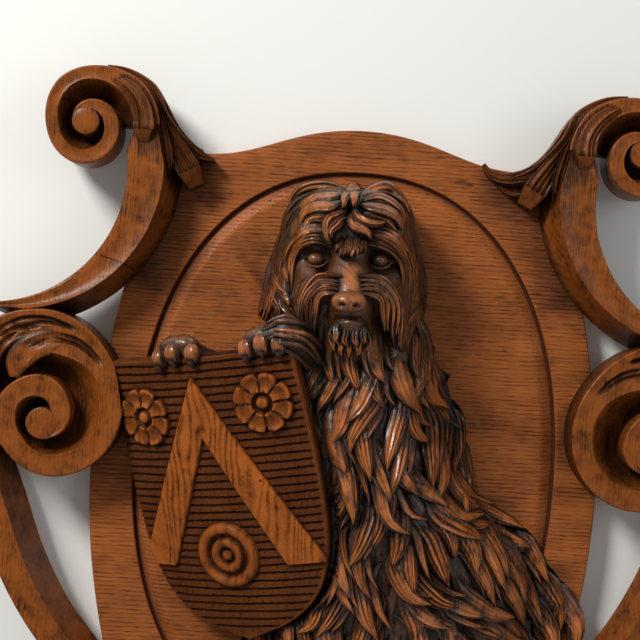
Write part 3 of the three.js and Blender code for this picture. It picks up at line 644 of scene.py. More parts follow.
def rose_rows(s, t):
    """A rose of cupped petals with raised rims, round a sunk ring and a domed button, and its shades, which
    are painted light and shade.
    """
    radius, petals = 23.0, 8
    a = np.linspace(0, 2 * math.pi, petals * 16 + 1)
    petal = (a * petals / (2 * math.pi)) % 1
    notch = np.clip(1 - np.minimum(petal, 1 - petal) * 7, 0, 1)
    even = np.floor(a * petals / (2 * math.pi) + 1e-6) % 2
    middle = np.sin(np.pi * petal)
    worn = 0.55 + 0.45 * np.clip(np.cos(a - math.radians(120)) + 0.4, 0, 1)
    edge = radius * (1 - 0.17 * notch**1.3 - 0.035 * (1 - middle))
    rows, shades = [], []
    for share, height, cup, shade in ROSE_RINGS:
        leaf = share > 0.36
        relief = 0.5 * even - 2.8 * notch**1.2 - 1.9 * cup * middle**0.8 + 0.6 * (1 - middle)
        e = height + leaf * worn * relief
        if height < 0:
            e = np.full_like(a, height)
        r = edge * share if leaf else radius * share
        rows.append(on_shield(s + r * np.sin(a), t - r * np.cos(a), e))
        # Painted shade in the notches between the petals
        shades.append(np.clip(shade - leaf * 0.5 * notch, 0.05, 1))
    return np.array(rows), np.array(shades)


def ring_rows(s, t):
    """The ringed roundel: two rounds and a boss, turned as one."""
    a = np.linspace(0, 2 * math.pi, 65)
    profile = [(26, -1.5), (26, 0.2)]
    for middle, tube, high in ((21.5, 4.4, 4.6), (10.2, 3.9, 4.2)):
        for bend in range(0, 181, 20):
            x = math.radians(bend)
            profile.append((middle + tube * math.cos(x), 0.2 + high * math.sin(x) ** 0.9))
        profile.append((middle - tube - 0.8, -0.4))
    profile += [(4.6, -0.3), (4.4, 1.6), (3.4, 3.2), (1.8, 4.1), (0, 4.4)]
    rows = [on_shield(s + r * np.sin(a), t - r * np.cos(a), e) for r, e in profile]
    return np.array(rows)


def beetle_hole():
    """A dark disc for the mouth of a beetle's hole in the chevron: painted shade where the hole would be."""
    s, t = BEETLE_HOLE
    a = np.linspace(0, 2 * math.pi, 13)
    rings = ((1.1, -0.4), (1.0, 0.05), (0, 0.06))
    return [on_shield(s + r * np.cos(a), t + r * np.sin(a), CHEVRON["rise"] + e) for r, e in rings]


def shield():
    """The bowed shield with its chevron, two roses and ringed roundel."""
    carving = Carving()
    carving.skin(*shield_body())
    for side in (-1, 1):
        carving.skin(chevron_bar(side), tone=0.9)
    for s, t in ROSES:
        carving.skin(*rose_rows(s, t))
    carving.skin(ring_rows(*RING), tone=0.55)
    # Painted shade of the beetle's hole
    carving.skin(beetle_hole(), tone=-1.0)
    return carving.finish("shield_bowed", crisp=33)


# Dog: masses of hair, the face and the locks that lie on them

DOG_UNIT = 4.3
CROWN = 216.0

# In dog units: the sides, the crest and how far the front stands out, at places down from the crown
HEAD = dict(
    downs=[-0.3, 1.2, 4, 8, 12.5, 17.5, 22, 25],
    left=[-8.6, -9.8, -11.2, -12.6, -14.0, -15.4, -16.8, -16.6],
    crest=[-2] * 8,
    right=[6, 8.6, 9.8, 10.6, 11.3, 12, 12.5, 12],
    front=[12, 18.4, 21.4, 21.6, 19.6, 17.6, 16, 13],
    square=2.4,
)
COAT = dict(
    downs=[23, 32, 42, 52, 62, 73, 85, 97],
    left=[-11, -15, -16, -15, -12, -13, -15, -13],
    crest=[1, 2, 2, 4, 6, 8, 7, 4],
    right=[13, 16.8, 17.4, 22.2, 30, 35.4, 33, 21],
    front=[17, 19.6, 19.8, 19.4, 19, 17.5, 14.5, 8],
    square=1.9,
)
SIDES = ("left", "crest", "right", "front")


def sides_at(mass, z):
    """The left side, crest, right side and front of a mass of hair at a height, in millimetres."""
    down = (CROWN - np.asarray(z, float)) / DOG_UNIT
    place = np.interp(down, mass["downs"], np.arange(len(mass["downs"])))
    return [smooth_along(mass[side], place) * DOG_UNIT for side in SIDES]


def mass_height(mass, x, z):
    """How far a mass of hair stands out at each place."""
    left, crest, right, front = sides_at(mass, z)
    reach = np.where(x < crest, crest - left, right - crest)
    share = np.abs(x - crest) / np.maximum(reach, 1)
    down = (CROWN - z) / DOG_UNIT
    inside = (share < 1) & (down > mass["downs"][0]) & (down < mass["downs"][-1])
    return np.where(inside, front * (1 - np.minimum(share, 1) ** mass["square"]) ** (1.2 / mass["square"]), 0)


def middle_line(z):
    """Where the face's middle, which leans a little, stands across the board."""
    return -9.2 + 0.065 * (202 - z)


# The muzzle's ridge and half width at heights up the board
MUZZLE_UP = [84, 90, 97, 104, 110, 115.5, 120, 125, 130, 135, 140, 150, 160, 168, 178]
MUZZLE_RIDGE = [92, 98, 103, 107.5, 110, 111.5, 114, 116, 115.5, 113, 110.5, 104, 98.5, 98, 98]
MUZZLE_HALF = [8, 11, 13, 15, 16.5, 18, 19, 19.5, 19.5, 19, 18.5, 17, 15, 14, 14]


def face_height(x, z):
    """The face under its hair: brow, sockets, cheeks, bridge, muzzle, mouth and chin."""
    u = x - middle_line(z)
    w = np.abs(u)
    height = 86.5 - 0.011 * w**2
    height += 12 * bell(z - 175.5, 9) * soft_step((w - 2) / 8)
    height += 6.5 * bell(w - 24, 10) * bell(z - 143.5, 8.5)
    height -= 10 * bell(w - 24, 11) * bell(z - 160, 6.5)
    height -= 12 * bell(w - 23.5, 6.5) * soft_step((127 - z) / 9) * soft_step((z - 84) / 10)
    ridge, half = np.interp(z, MUZZLE_UP, MUZZLE_RIDGE), np.interp(z, MUZZLE_UP, MUZZLE_HALF)
    share = np.clip(w / half, 0, 1)
    height += (ridge - height) * np.clip(1 - share**2.3, 0, 1) ** 0.75
    jaw = soft_step((15 - w) / 3)
    height -= 5.0 * bell(z - (116.2 - 0.02 * w**2), 1.5) * jaw
    height -= 1.6 * bell(u, 1.0) * (z < 121) * (z > 116)
    height += 1.2 * bell(w - 6.5, 4) * bell(z - 119.4, 2.4)
    combed = 0.8 * np.abs(np.sin(u * 0.9 + 0.4 * np.sin(z / 6)))
    return height + combed * soft_step((11 - w) / 3) * bell(z - 148, 14)


# The dog's forms are worked out once on a grid, which the hair then reads
STEP = 2.0
FIELD_X, FIELD_Z = np.arange(-164, 172, STEP), np.arange(-216, 226, STEP)


def blurred(field):
    """A field with its steps softened."""
    padded = np.pad(field, 1, mode="edge")
    return (padded[:-2, 1:-1] + padded[2:, 1:-1] + padded[1:-1, :-2] + padded[1:-1, 2:] + 2 * field) / 6


def dog_field():
    """The height of the dog's forms over the whole figure."""
    x, z = np.meshgrid(FIELD_X, FIELD_Z)
    foreleg_x = -36 + (88 - z) * 0.31
    foreleg = 78 * np.sqrt(np.maximum(1 - ((x - foreleg_x) / 17) ** 2, 0))
    foreleg *= soft_step((z + 34) / 40)
    foreleg *= soft_step((96 - z) / 12)
    coat = np.maximum(mass_height(COAT, x, z), foreleg)
    head = mass_height(HEAD, x, z)
    both = np.maximum(coat, head)
    face = face_height(x, z)
    u = np.abs(x - middle_line(z))
    blend = soft_step((43 - u) / 8) * soft_step((z - 86) / 8) * soft_step((186 - z) / 8)
    return blurred(both * (1 - blend) + face * blend)


DOG_FIELD = dog_field()


def surface(x, z):
    """The dog's forms at any places."""
    i = np.clip((np.asarray(z, float) - FIELD_Z[0]) / STEP, 0, len(FIELD_Z) - 1.001)
    j = np.clip((np.asarray(x, float) - FIELD_X[0]) / STEP, 0, len(FIELD_X) - 1.001)
    low_i, low_j = i.astype(int), j.astype(int)
    a, b = i - low_i, j - low_j
    field = DOG_FIELD
    return (
        field[low_i, low_j] * (1 - a) * (1 - b) + field[low_i, low_j + 1] * (1 - a) * b
        + field[low_i + 1, low_j] * a * (1 - b) + field[low_i + 1, low_j + 1] * a * b
    )


def behind_shield(rows):
    """Points moved back where they would stand in the shield."""
    air, margin = 1.2, 1.5
    rows = np.array(rows, float)
    moved = rows.copy()
    for _ in range(3):
        local = (moved - SHIELD_ORIGIN) @ SHIELD_TURN
        s, t = local[..., 0], -local[..., 2]
        back = on_shield(np.clip(s, -90, 90), t, -SHIELD_THICKNESS - air)
        moved[..., 1] = back[..., 1]
    local = (moved - SHIELD_ORIGIN) @ SHIELD_TURN
    s, t = local[..., 0], -local[..., 2]
    inside = (np.abs(s) < half_at(t) + margin) & (t > -margin) & (t < SHIELD_HEIGHT + margin)
    rows[..., 1] = np.where(inside & (rows[..., 1] < back[..., 1]), back[..., 1], rows[..., 1])
    return rows


def hair_mass(mass, low, high):
    """The ground that the locks lie on, combed from top to bottom, and its shades: painted shade, dark under
    the locks and darker in the combed grooves.
    """
    pitch, inset = 6.0, 3
    rows, shades = [], []
    for z in np.linspace(high, low, 44):
        left, _, right, _ = (float(side) for side in sides_at(mass, z))
        x = np.linspace(left + inset, right - inset, 91)
        comb = np.abs(np.sin(math.pi / pitch * (x - 0.2 * z + 3 * math.sin(z / 9)))) ** 0.6
        height = np.maximum(surface(x, z) - 5.5 + 4.0 * comb, GAP)
        height[[0, -1]] = GAP
        front = at(x, z, height)
        rows.append(np.concatenate([front, front[:1]]))
        shades.append(np.append(0.12 + 0.42 * comb, 0.12))
    return behind_shield(rows), np.array(shades)


def face_rows():
    """The face between the curtains of hair, and its shades: the muzzle's bridge is lighter."""
    sunk = 30
    rows, shades = [], []
    for z in np.linspace(190, 84, 84):
        x = np.linspace(-45, 45, 75) + float(middle_line(z))
        height = face_height(x, z) * 0.6 + surface(x, z) * 0.4
        front = at(x, z, height)
        right_foot, left_foot = at(x[-1:], z, height[-1:] - sunk), at(x[:1], z, height[:1] - sunk)
        rows.append(np.concatenate([front, right_foot, left_foot, front[:1]]))
        bridge = 0.26 * bell(x - middle_line(z), 8) * soft_step((z - 120) / 12) * soft_step((166 - z) / 14)
        shades.append(np.pad(0.36 + bridge, (0, 3), constant_values=0.36))
    return np.array(rows), np.array(shades)


SWELL = [[0, 0.3, 0.6, 0.85, 1], [-0.5, 0.35, 0.88, 1.0, 0.62]]  # how a lock swells from its root to its tip


def lock(
    path, width, rise, strands=3, steps=12, lift=0.0, groove=1.4, root=0.45, tip=0.08, hang=None, glow=0.1,
):
    """A lock of carved hair: strands with grooves between them, from a sunk root to a proud tip.

    It lies on the dog's forms, or hangs free at the heights given. Its shades come with its places: painted
    highlight on the strands' crests and towards the tip, and painted shade in the grooves, along the sides,
    at the sunk root and under it.
    """
    widest = 0.42
    path = np.asarray(path, float)
    s = np.linspace(0, 1, steps + 1)
    line = smooth_along(path, s * (len(path) - 1))
    ahead = np.gradient(line[:, :2], axis=0)
    ahead /= np.linalg.norm(ahead, axis=1)[:, None] + 1e-9
    side = np.stack([-ahead[:, 1], ahead[:, 0]], axis=-1)
    fall = tip + (1 - tip) * np.clip(1 - (np.maximum(s - widest, 0) / 0.58) ** 1.7, 0, 1) ** 0.85
    reach = width * np.where(s < widest, root + (1 - root) * np.sin(np.pi / 2 * s / widest), fall)
    if hang is None:
        follow = 0.8
        ground = surface(line[:, 0], line[:, 1])
        for place in range(1, len(ground)):
            ground[place] = max(ground[place], ground[place - 1] - 4)
        ground = np.convolve(np.pad(ground, 2, mode="edge"), [0.1, 0.2, 0.4, 0.2, 0.1], mode="valid")
        growth = rise * np.interp(s, *SWELL) + lift
    else:
        follow = 0.0
        ground = smooth_along(hang, s * (len(hang) - 1))
        growth = rise * 0.5 + lift
    if line.shape[1] > 2:
        growth = growth + line[:, 2]

    def across(q):
        """The places across the lock at a share of its half width, and the ground there."""
        x, z = line[:, 0] + side[:, 0] * reach * q, line[:, 1] + side[:, 1] * reach * q
        return x, z, np.maximum(ground * (1 - follow) + surface(x, z) * follow, ground - 9)

    deep = groove * np.sin(np.pi * np.clip(s * 0.88 + 0.08, 0, 1)) ** 0.5 * np.minimum(1, reach / width + 0.2)
    shift = rng.uniform(-0.12, 0.12)
    fade = np.minimum(1, s * 3 + 0.2)
    # Painted highlight towards the tip and painted shade at the root
    ends = glow * (soft_step((s - 0.3) / 0.45) - 0.35)
    columns, shades = [], []
    for q in np.linspace(-1, 1, 3 * strands + 1):
        x, z, level = across(q)
        round_over = rise * 0.8 * (1 - max(1 - abs(q) ** 2.1, 0) ** 0.7)
        bent = q + shift * (1 - q * q)
        hump = abs(math.sin(math.pi * strands * (bent + 1) / 2)) ** 0.7
        columns.append(at(x, z, np.maximum(level + growth - round_over - deep * (1 - hump), GAP)))
        # Painted highlight on the strands' crests, and painted shade in the grooves, at the sides and at the
        # root
        shades.append(fade * (0.66 * hump - 0.34 - 0.36 * q * q) - 0.35 * (1 - fade) + ends)
    for q in (0.8, -0.8):
        x, z, level = across(q)
        columns.append(at(x, z, np.maximum(level + growth - rise - 5, GAP)))
        # Painted shade under the lock
        shades.append(-0.4 + 0 * s)
    columns.append(columns[0])
    shades.append(shades[0])
    return np.stack(columns, axis=1), np.stack(shades, axis=1)


def lay(carving, path, width, rise, tone=0.5, behind=False, **how):
    """Lays a lock on the dog."""
    rows, shades = lock(path, width, rise, **how)
    rows = behind_shield(rows) if behind else rows
    carving.skin(rows, tone=shades + tone + rng.uniform(-0.1, 0.1), spread=(60, 14))


def coat_lean(x, z):
    """Which way the coat falls at a place, in degrees from straight down, positive to the right."""
    lean = -4 + 34 * soft_step((x - 8) / 60) * (0.55 + 0.45 * soft_step((60 - z) / 80))
    lean += 20 * soft_step((x - 30) / 70) * soft_step((20 - z) / 60)
    lean += 6 * np.sin(0.045 * x + 0.06 * z) * soft_step((50 - x) / 60)
    return float(lean * (1 - 0.85 * soft_step((-95 - z) / 70)))


def coat_path(x, z, length, swing, hook):
    """The middle of a flame-shaped lock, which swings one way and hooks back at its tip."""
    path = [(x, z)]
    for share in np.linspace(0.1, 1, 9):
        turn = coat_lean(x, z) + swing * (0.2 + math.cos(2 * math.pi * (share * 0.8 + 0.05)))
        turn += hook * (soft_step((share - 0.62) / 0.38) - 0.17)
        x += length / 9 * math.sin(math.radians(turn))
        z -= length / 9 * math.cos(math.radians(turn))
        path.append((x, z))
    return path


# Roots of the locks that lap over the coat's edge below the right ear
NECK_EDGE = [(44, 122), (50, 113), (56, 104), (61, 95), (65, 86), (68, 76), (70, 64)]


def coat_locks(carving):
    """Rows of flame-shaped locks down the chest and trunk, with thinner ones between them."""
    low_trunk = -105
    for row in range(14):
        z = 122.0 - 21.5 * row
        left, _, right, _ = (float(side) for side in sides_at(COAT, min(z, 110)))
        edge = right - 2 - 0.6 * max(0, z - 96)
        starts = [left + 4 + (row % 2) * 7]
        while starts[-1] < edge - 18:
            starts.append(starts[-1] + (rng.uniform(15.5, 19.5) if z > low_trunk else rng.uniform(18, 22)))
        for x in [*starts, edge]:
            bias = math.sin(0.05 * x + 0.08 * z + 0.8)
            swing = math.copysign(22 + 18 * abs(bias), bias) + rng.uniform(-8, 8)
            hook = -math.copysign(rng.uniform(40, 90), swing)
            length = rng.uniform(56, 76)
            path = coat_path(x + rng.uniform(-3, 3), z + rng.uniform(-6, 6), length, swing, hook)
            width, rise = rng.uniform(8.2, 11.8), rng.uniform(9, 12.5)
            strands = rng.choice((4, 5, 5)) if z > low_trunk else 4
            root = 0.9 if x == edge else 0.45
            lay(carving, path, width, rise, tone=0.48, behind=True, strands=strands, steps=14, groove=3.2,
                lift=rng.uniform(-2, 1.5), glow=0.32, root=root)
            thin_x, thin_z = x + 7 + rng.uniform(-2, 2), z - 9 + rng.uniform(-6, 6)
            path = coat_path(thin_x, thin_z, length * 0.75, swing, hook)
            lay(carving, path, rng.uniform(3.4, 5.0), rng.uniform(5, 7), tone=0.4, behind=True,
                strands=2, steps=9, groove=2.2, lift=rng.uniform(0, 3), glow=0.32)
    for x, z in NECK_EDGE:
        path = coat_path(x, z, 52, rng.uniform(-25, 25), rng.uniform(-40, 40))
        lay(carving, path, 7.0, 8.5, tone=0.46, behind=True, strands=4, steps=15, groove=2.2)


def waved(path, side, count, wave, phase):
    """A path beside the face's middle, on one side of it, with a wave in it."""
    path = np.asarray(path, float)
    line = smooth_along(path, np.linspace(0, len(path) - 1, count))
    share = np.linspace(0, 1, count)
    line[:, 0] += wave * np.sin(2 * np.pi * (1.6 * share + phase)) * np.minimum(1, share * 3)
    line[:, 0] = middle_line(line[:, 1]) + side * line[:, 0]
    return line


# Paths of the head's locks, as distances from the face's middle and heights up the board. The crown's go
# with their half widths. The curtains and brows are an outer and an inner path, with the rest between them.
CROWN_LOCKS = [
    ([(-4, 210), (-15, 213), (-28, 212), (-39, 207), (-45, 200), (-48, 192)], 6.0),
    ([(-3, 206), (-14, 203), (-26, 202), (-35, 198), (-40, 191)], 5.6),
    ([(-5, 200), (-15, 196), (-26, 196), (-34, 192), (-38, 184)], 5.6),
    ([(-6, 194), (-16, 189), (-26, 189), (-33, 185), (-37, 178)], 5.2),
    ([(-2, 198), (-7, 192), (-14, 188), (-18, 182), (-17, 174), (-13, 168)], 5.0),
    ([(-2, 190), (-8, 186), (-13, 180), (-14, 173)], 4.2),
    ([(-3, 213), (-1, 207), (-3, 201), (-7, 195)], 4.6),
    ([(3, 214), (5, 208), (2, 202), (3, 196)], 4.4),
    ([(1, 203), (2, 210), (6, 214.5), (12, 214)], 5.0),
    ([(8, 204), (17, 211), (28, 214.5), (36, 212), (43, 206), (46, 197)], 6.0),
    ([(10, 201), (20, 204), (30, 202), (37, 197), (41, 188)], 5.6),
    ([(8, 198), (18, 197), (29, 195), (37, 190), (40, 183)], 5.4),
    ([(5, 193), (14, 192), (25, 190), (33, 185), (37, 178)], 5.2),
    ([(2, 197), (4, 191), (11, 187), (19, 186), (27, 189)], 4.6),
    ([(1, 193), (1, 187), (5, 182), (12, 179), (16, 174)], 4.4),
]
BROWS = {
    -1: [[(7, 177), (20, 182), (32, 181), (41, 174), (47, 163), (52, 148), (55, 126)],
         [(10, 166), (19, 170), (29, 171), (37, 168), (41, 160), (43, 147), (46, 130)]],
    1: [[(8, 182), (19, 184), (31, 181), (40, 173), (45, 161), (48, 143), (49, 124)],
        [(7, 172), (15, 171), (23, 170), (32, 167), (37, 160), (40, 146), (41, 132)]],
}
CURTAINS = {
    -1: [[(12, 213), (32, 208), (43, 195), (50, 178), (56, 158), (62, 138), (70, 116)],
         [(20, 200), (34, 192), (43, 178), (47, 162), (49, 145), (50, 128), (49, 106)]],
    1: [[(14, 214), (34, 210), (44, 196), (50, 178), (54, 160), (57, 138), (56, 112)],
        [(20, 202), (33, 194), (41, 180), (44, 164), (46, 146), (47, 128), (45, 104)]],
}
MOUSTACHE = {
    -1: [[(10, 146), (19, 146), (28, 142), (34, 132), (37, 116), (37, 100)],
         [(11, 142), (21, 142), (28, 137), (33, 129), (36, 113), (35, 98)],
         [(10, 139), (19, 140), (26, 135), (31, 127), (33, 113), (32, 97)],
         [(11, 136), (19, 137), (24, 133), (28, 125), (30, 112), (29, 99)],
         [(11, 133), (18, 133), (23, 129), (26, 121), (27, 111), (26, 101)]],
    1: [[(9, 147), (19, 147), (28, 143), (34, 134), (37, 120), (37, 104)],
        [(9, 144), (19, 144), (28, 140), (33, 131), (35, 117), (34, 104)],
        [(8, 140), (18, 141), (25, 137), (30, 129), (32, 117), (31, 103)],
        [(8, 137), (17, 138), (23, 135), (27, 127), (28, 116), (27, 104)],
        [(8, 134), (15, 134), (21, 131), (24, 124), (25, 114), (24, 105)]],
}
CHIN_TUFT = [
    [(-13, 109), (-14, 102), (-14, 96), (-11, 91)], [(-7, 108), (-8, 101), (-8, 94), (-6, 88.5)],
    [(-1, 108), (-1, 101), (-2, 94), (-1, 87.5)], [(5, 108), (6, 101), (6, 94), (4, 89)],
    [(11, 109), (12, 103), (12, 97), (9, 91.5)], [(-10, 111), (-11, 106), (-11, 101), (-9, 97)],
    [(-3, 110.5), (-4, 105), (-4, 99), (-3, 95)], [(3, 110.5), (3, 105), (3, 99), (3, 95)],
    [(8, 111), (9, 106), (9, 101), (8, 97)],
]


TEMPLES = [(34, 203), (37, 194), (42, 183), (46, 170), (49, 155), (52, 140), (45, 150), (44, 138)]


def curtain_locks(carving, side):
    """Two layers of long locks, from the parting down over an ear."""
    outer, inner = (np.array(path, float) for path in CURTAINS[side])
    for layer, (count, lift, width) in enumerate(((6, -2.5, 7.4), (5, 1.5, 5.8))):
        for i in range(count):
            share = (i + 0.5 * layer) / (count - 1 + 0.5 * layer)
            path = outer + (inner - outer) * share
            path[-1, 1] += rng.uniform(-6, 6)
            path[-1, 0] += rng.uniform(0, 5)
            path = waved(path, side, count=13, wave=2.3, phase=rng.uniform(-0.2, 0.2) + 0.3 * layer)
            lay(carving, path, width, 8.0, tone=0.32, strands=3, steps=24, lift=lift + rng.uniform(-1, 1),
                groove=2.6, tip=0.12)


def brow_locks(carving, side):
    """Thin locks that arch over an eye and fall beside the face."""
    outer, inner = (np.array(path, float) for path in BROWS[side])
    for i in range(5):
        path = outer + (inner - outer) * i / 4
        path[-1, 1] += rng.uniform(-8, 8)
        path = np.column_stack([path, [0, 4, 6.5, 6.5, 4, 1, -1]])
        path = waved(path, side, count=12, wave=1.3, phase=rng.uniform(-0.15, 0.15))
        lay(carving, path, 3.6, 6.0, tone=0.56, strands=2, steps=22, lift=rng.uniform(-0.5, 2.5), groove=2.8,
            root=0.6)


def moustache_locks(carving, side):
    """Thin locks that hang from beside the nose."""
    for number, path in enumerate(MOUSTACHE[side]):
        path = np.array(path, float)
        path[0, 0] -= 3.5
        path[-1, 1] += rng.uniform(-4, 4)
        path = waved(path, side, count=9, wave=0.9, phase=number * 0.17)
        lay(carving, path, 3.3, 4.4, tone=0.52, strands=2, steps=16, groove=1.7, root=0.35,
            hang=(105.5 + 0.8 * number, 106 + number * 0.8, 103.5, 99, 95, 91))


def cheek_locks(carving, side):
    """Locks that fall between the muzzle and the ear, and shorter ones down the temple."""
    for number in range(5):
        u, z = 30 + 3.2 * number, 150 - 1.5 * number
        path = [
            (u - 5, z, -2), (u + 2, z - 10, 2), (u + 4, z - 25, 3), (u + 3, z - 40, 1), (u + 1, z - 54, -2),
        ]
        path = waved(path, side, count=9, wave=1.8, phase=rng.random())
        lay(carving, path, 4.2, 5.5, tone=0.36, strands=3, steps=14, groove=2.0, lift=1.0)
    for number, (u, z) in enumerate(TEMPLES):
        path = [(u, z, 2), (u + 5, z - 7, 4), (u + 5, z - 16, 5), (u + 1, z - 24, 4.5), (u + 3, z - 33, 1)]
        path = waved(path, side, count=9, wave=1.6, phase=0.37 * number)
        lay(carving, path, 4.6, 5.6, tone=0.34, strands=3, steps=14, groove=2.2, lift=1.0)


def crown_locks(carving):
    """The curls round the parting, laid over one another."""
    for number, (path, width) in enumerate(CROWN_LOCKS):
        high = 1.0 + 2.5 * (number % 3)
        arch = [2.5 * math.sin(math.pi * place / (len(path) - 1)) for place in range(len(path))]
        path = [(u, z + 2.5 * soft_step((z - 190) / 15), high + bow) for (u, z), bow in zip(path, arch)]
        path = waved(path, 1, count=9, wave=1.0, phase=0.3 * number)
        lay(carving, path, width, 8.0, tone=0.56, strands=3, steps=15, groove=2.6)


def bridge_locks(carving):
    """The fringe that falls from the brow over the muzzle's bridge."""
    for i in range(8):
        u = -9.5 + 2.9 * i
        top = 176 + rng.uniform(-2, 2)
        low = 160.5 + 0.03 * (u + 1) ** 2 + rng.uniform(-1, 1.5)
        path = [
            (u * 0.8 + 1.5, top, 1), (u * 0.9 + 1, top - 6, 4.5), (u - 0.5, low + 4, 6), (u - 1.5, low, 3),
        ]
        path = waved(path, 1, count=6, wave=0.5, phase=rng.random())
        lay(carving, path, 2.6, 4.2, tone=0.5, strands=2, steps=12, lift=1.0, groove=1.6, root=0.7)


def chin_locks(carving):
    """The tuft on the chin: a lower row of short locks and an upper one over it."""
    for path in CHIN_TUFT:
        low_row = path[0][1] < 110
        shift = rng.uniform(-1.5, 1.5)
        heights = np.array((105, 107.5, 107, 101) if low_row else (108.5, 111, 111.5, 107)) + shift
        path = waved(path, 1, count=6, wave=0.9, phase=rng.random())
        lay(carving, path, 3.5, 4.0, tone=0.34, strands=2, steps=12, groove=2.0, root=0.8, tip=0.15,
            hang=heights - 2, glow=0.45)


def head_locks(carving):
    """The hair of the head, from the ears' curtains to the tuft on the chin."""
    for side in (-1, 1):
        curtain_locks(carving, side)
        brow_locks(carving, side)
        moustache_locks(carving, side)
        cheek_locks(carving, side)
    crown_locks(carving)
    bridge_locks(carving)
    chin_locks(carving)


def ball(centre, radii, bumps=None, rings=15, sectors=24):
    """A rounded form: radii across, in front and up, with its surface moved by bumps if given."""
    polar = np.linspace(0, math.pi, rings + 1)[:, None]
    around = np.linspace(0, 2 * math.pi, sectors + 1)[None, :]
    up = np.cos(polar) + 0 * around
    direction = np.stack([np.sin(polar) * np.cos(around), np.sin(polar) * np.sin(around), up], axis=-1)
    scale = 1.0 if bumps is None else bumps(direction)[..., None]
    return np.asarray(centre, float) + direction * np.asarray(radii, float) * scale


def nose_rows():
    """The nose pad, with two nostrils and the cleft between them."""

    def shape(d):
        side, front, up = d[..., 0], -d[..., 1], d[..., 2]
        hole = np.exp(-(((np.abs(side) - 0.46) / 0.17) ** 2) - ((up + 0.34) / 0.2) ** 2) * (front > 0)
        cleft = np.exp(-((side / 0.08) ** 2)) * (front > 0) * (up < 0.3)
        pinch = np.exp(-((side / 0.3) ** 2)) * np.clip(up, 0, 1)
        corner = np.clip(np.abs(side) - 0.5, 0, 1) * np.clip(up, 0, 1)
        return 1 - 0.5 * hole - 0.08 * cleft - 0.1 * pinch + 0.12 * corner

    z = 127.6
    return ball(at(float(middle_line(z)) - 1.4, z, 110.6), (13.0, 11.2, 8.4), shape, rings=32, sectors=44)


EYES = ((-25.5, 158.2), (22.0, 159.8))


def eye_parts(carving):
    """The eyeballs in their sockets, with a thin lid below each."""
    drop, thick, out = 6.6, 1.1, 87.6
    for u, z in EYES:
        x = float(middle_line(z)) + u
        carving.skin(ball(at(x, z, 86.0), (6.0, 5.7, 4.9)), tone=0.45)
        a = np.linspace(0.1, math.pi - 0.1, 23)
        middle = np.stack([x + 9.0 * np.cos(a), z + 0.8 - drop * np.sin(a)], axis=-1)
        ring = np.linspace(0, 2 * math.pi, 9)
        rows = []
        for place, (px, pz) in enumerate(middle):
            swell = math.sin(math.pi * place / 22)
            size = thick * (0.2 + 0.8 * swell)
            rows.append(at(px + 0 * ring, pz + size * np.sin(ring), out + 0.8 * swell + size * np.cos(ring)))
        carving.skin(rows, tone=0.5)


def shield_ball(s, t, e, radii, bumps):
    """A rounded form set on the shield, with radii across, down and out, and its surface moved by bumps."""
    middle = on_shield(s, t, e)
    local = ball((0, 0, 0), (radii[0], radii[2], radii[1]), bumps)
    angle = math.asin(s / SHIELD_BOW)
    turn = np.array(Matrix.Rotation(angle, 3, "Z"))
    return local @ turn.T @ SHIELD_TURN.T + middle


def furrows(count, deep):
    """Bumps for a ball: grooves that run over it from back to front."""

    def bumps(d):
        return 1 - deep * np.abs(np.sin(count * np.arctan2(d[..., 0], np.abs(d[..., 1]) + 0.25))) ** 2.4

    return bumps


def limb(points, radii, steps=26):
    """The middle line of a round limb, its radii and the two directions across it."""
    points = np.asarray(points, float)
    line = smooth_along(points, np.linspace(0, len(points) - 1, steps))
    radius = smooth_along(radii, np.linspace(0, len(radii) - 1, steps))
    across, over = [], []
    for direction in np.gradient(line, axis=0):
        direction = Vector(direction).normalized()
        side = direction.cross(Vector((0, 0, 1))).normalized()
        across.append(side)
        over.append(side.cross(direction))
    return line, radius, np.array(across), np.array(over)


def tube(points, radii, ridged=0.0, steps=26, sectors=24):
    """A round limb along points of the frame, ridged along its length."""
    line, radius, across, over = limb(points, radii, steps)
    ring = np.linspace(0, 2 * math.pi, sectors + 1)
    swell = radius[:, None, None] * (1 - ridged * np.abs(np.sin(5 * ring)) ** 0.5)[None, :, None]
    turned = np.cos(ring)[None, :, None] * across[:, None, :] + np.sin(ring)[None, :, None] * over[:, None, :]
    return line[:, None, :] + swell * turned


def strand(carving, points, size, tone):
    """A thin round strand of hair with pointed ends."""
    radii = [size * part for part in (0.15, 0.8, 1.0, 1.0, 0.7, 0.1)]
    carving.skin(tube(points, radii, steps=13, sectors=8), tone=tone + rng.uniform(-0.15, 0.15))


def hairy_limb(carving, points, radii, tone):
    """A limb with strands that run down it."""
    count = 15
    # The core is darker: painted shade between the strands
    carving.skin(tube(points, radii, ridged=0.08), tone=0.2)
    line, radius, across, over = limb(points, radii)
    for number in range(count):
        angle = 2 * math.pi * number / count + 0.5 * np.sin(np.linspace(0, 3, len(line)) + number)
        out = np.cos(angle)[:, None] * across + np.sin(angle)[:, None] * over
        path = line + (radius * 1.03)[:, None] * out
        first = rng.randrange(0, 8)
        strand(carving, path[first:first + 18:2], rng.uniform(1.6, 2.5), tone)


# Places on the shield: a foot's middle and half width, and a toe's place across and down and its size
FEET = [(-13.0, 17.5), (59.0, 17.0)]
TOES = [
    (-27.5, 1.6, 5.6), (-14.5, -1.6, 6.0), (2.0, -0.4, 5.6),
    (46.5, 0.4, 5.8), (59.0, -1.8, 6.2), (71.5, 0.2, 5.8),
]


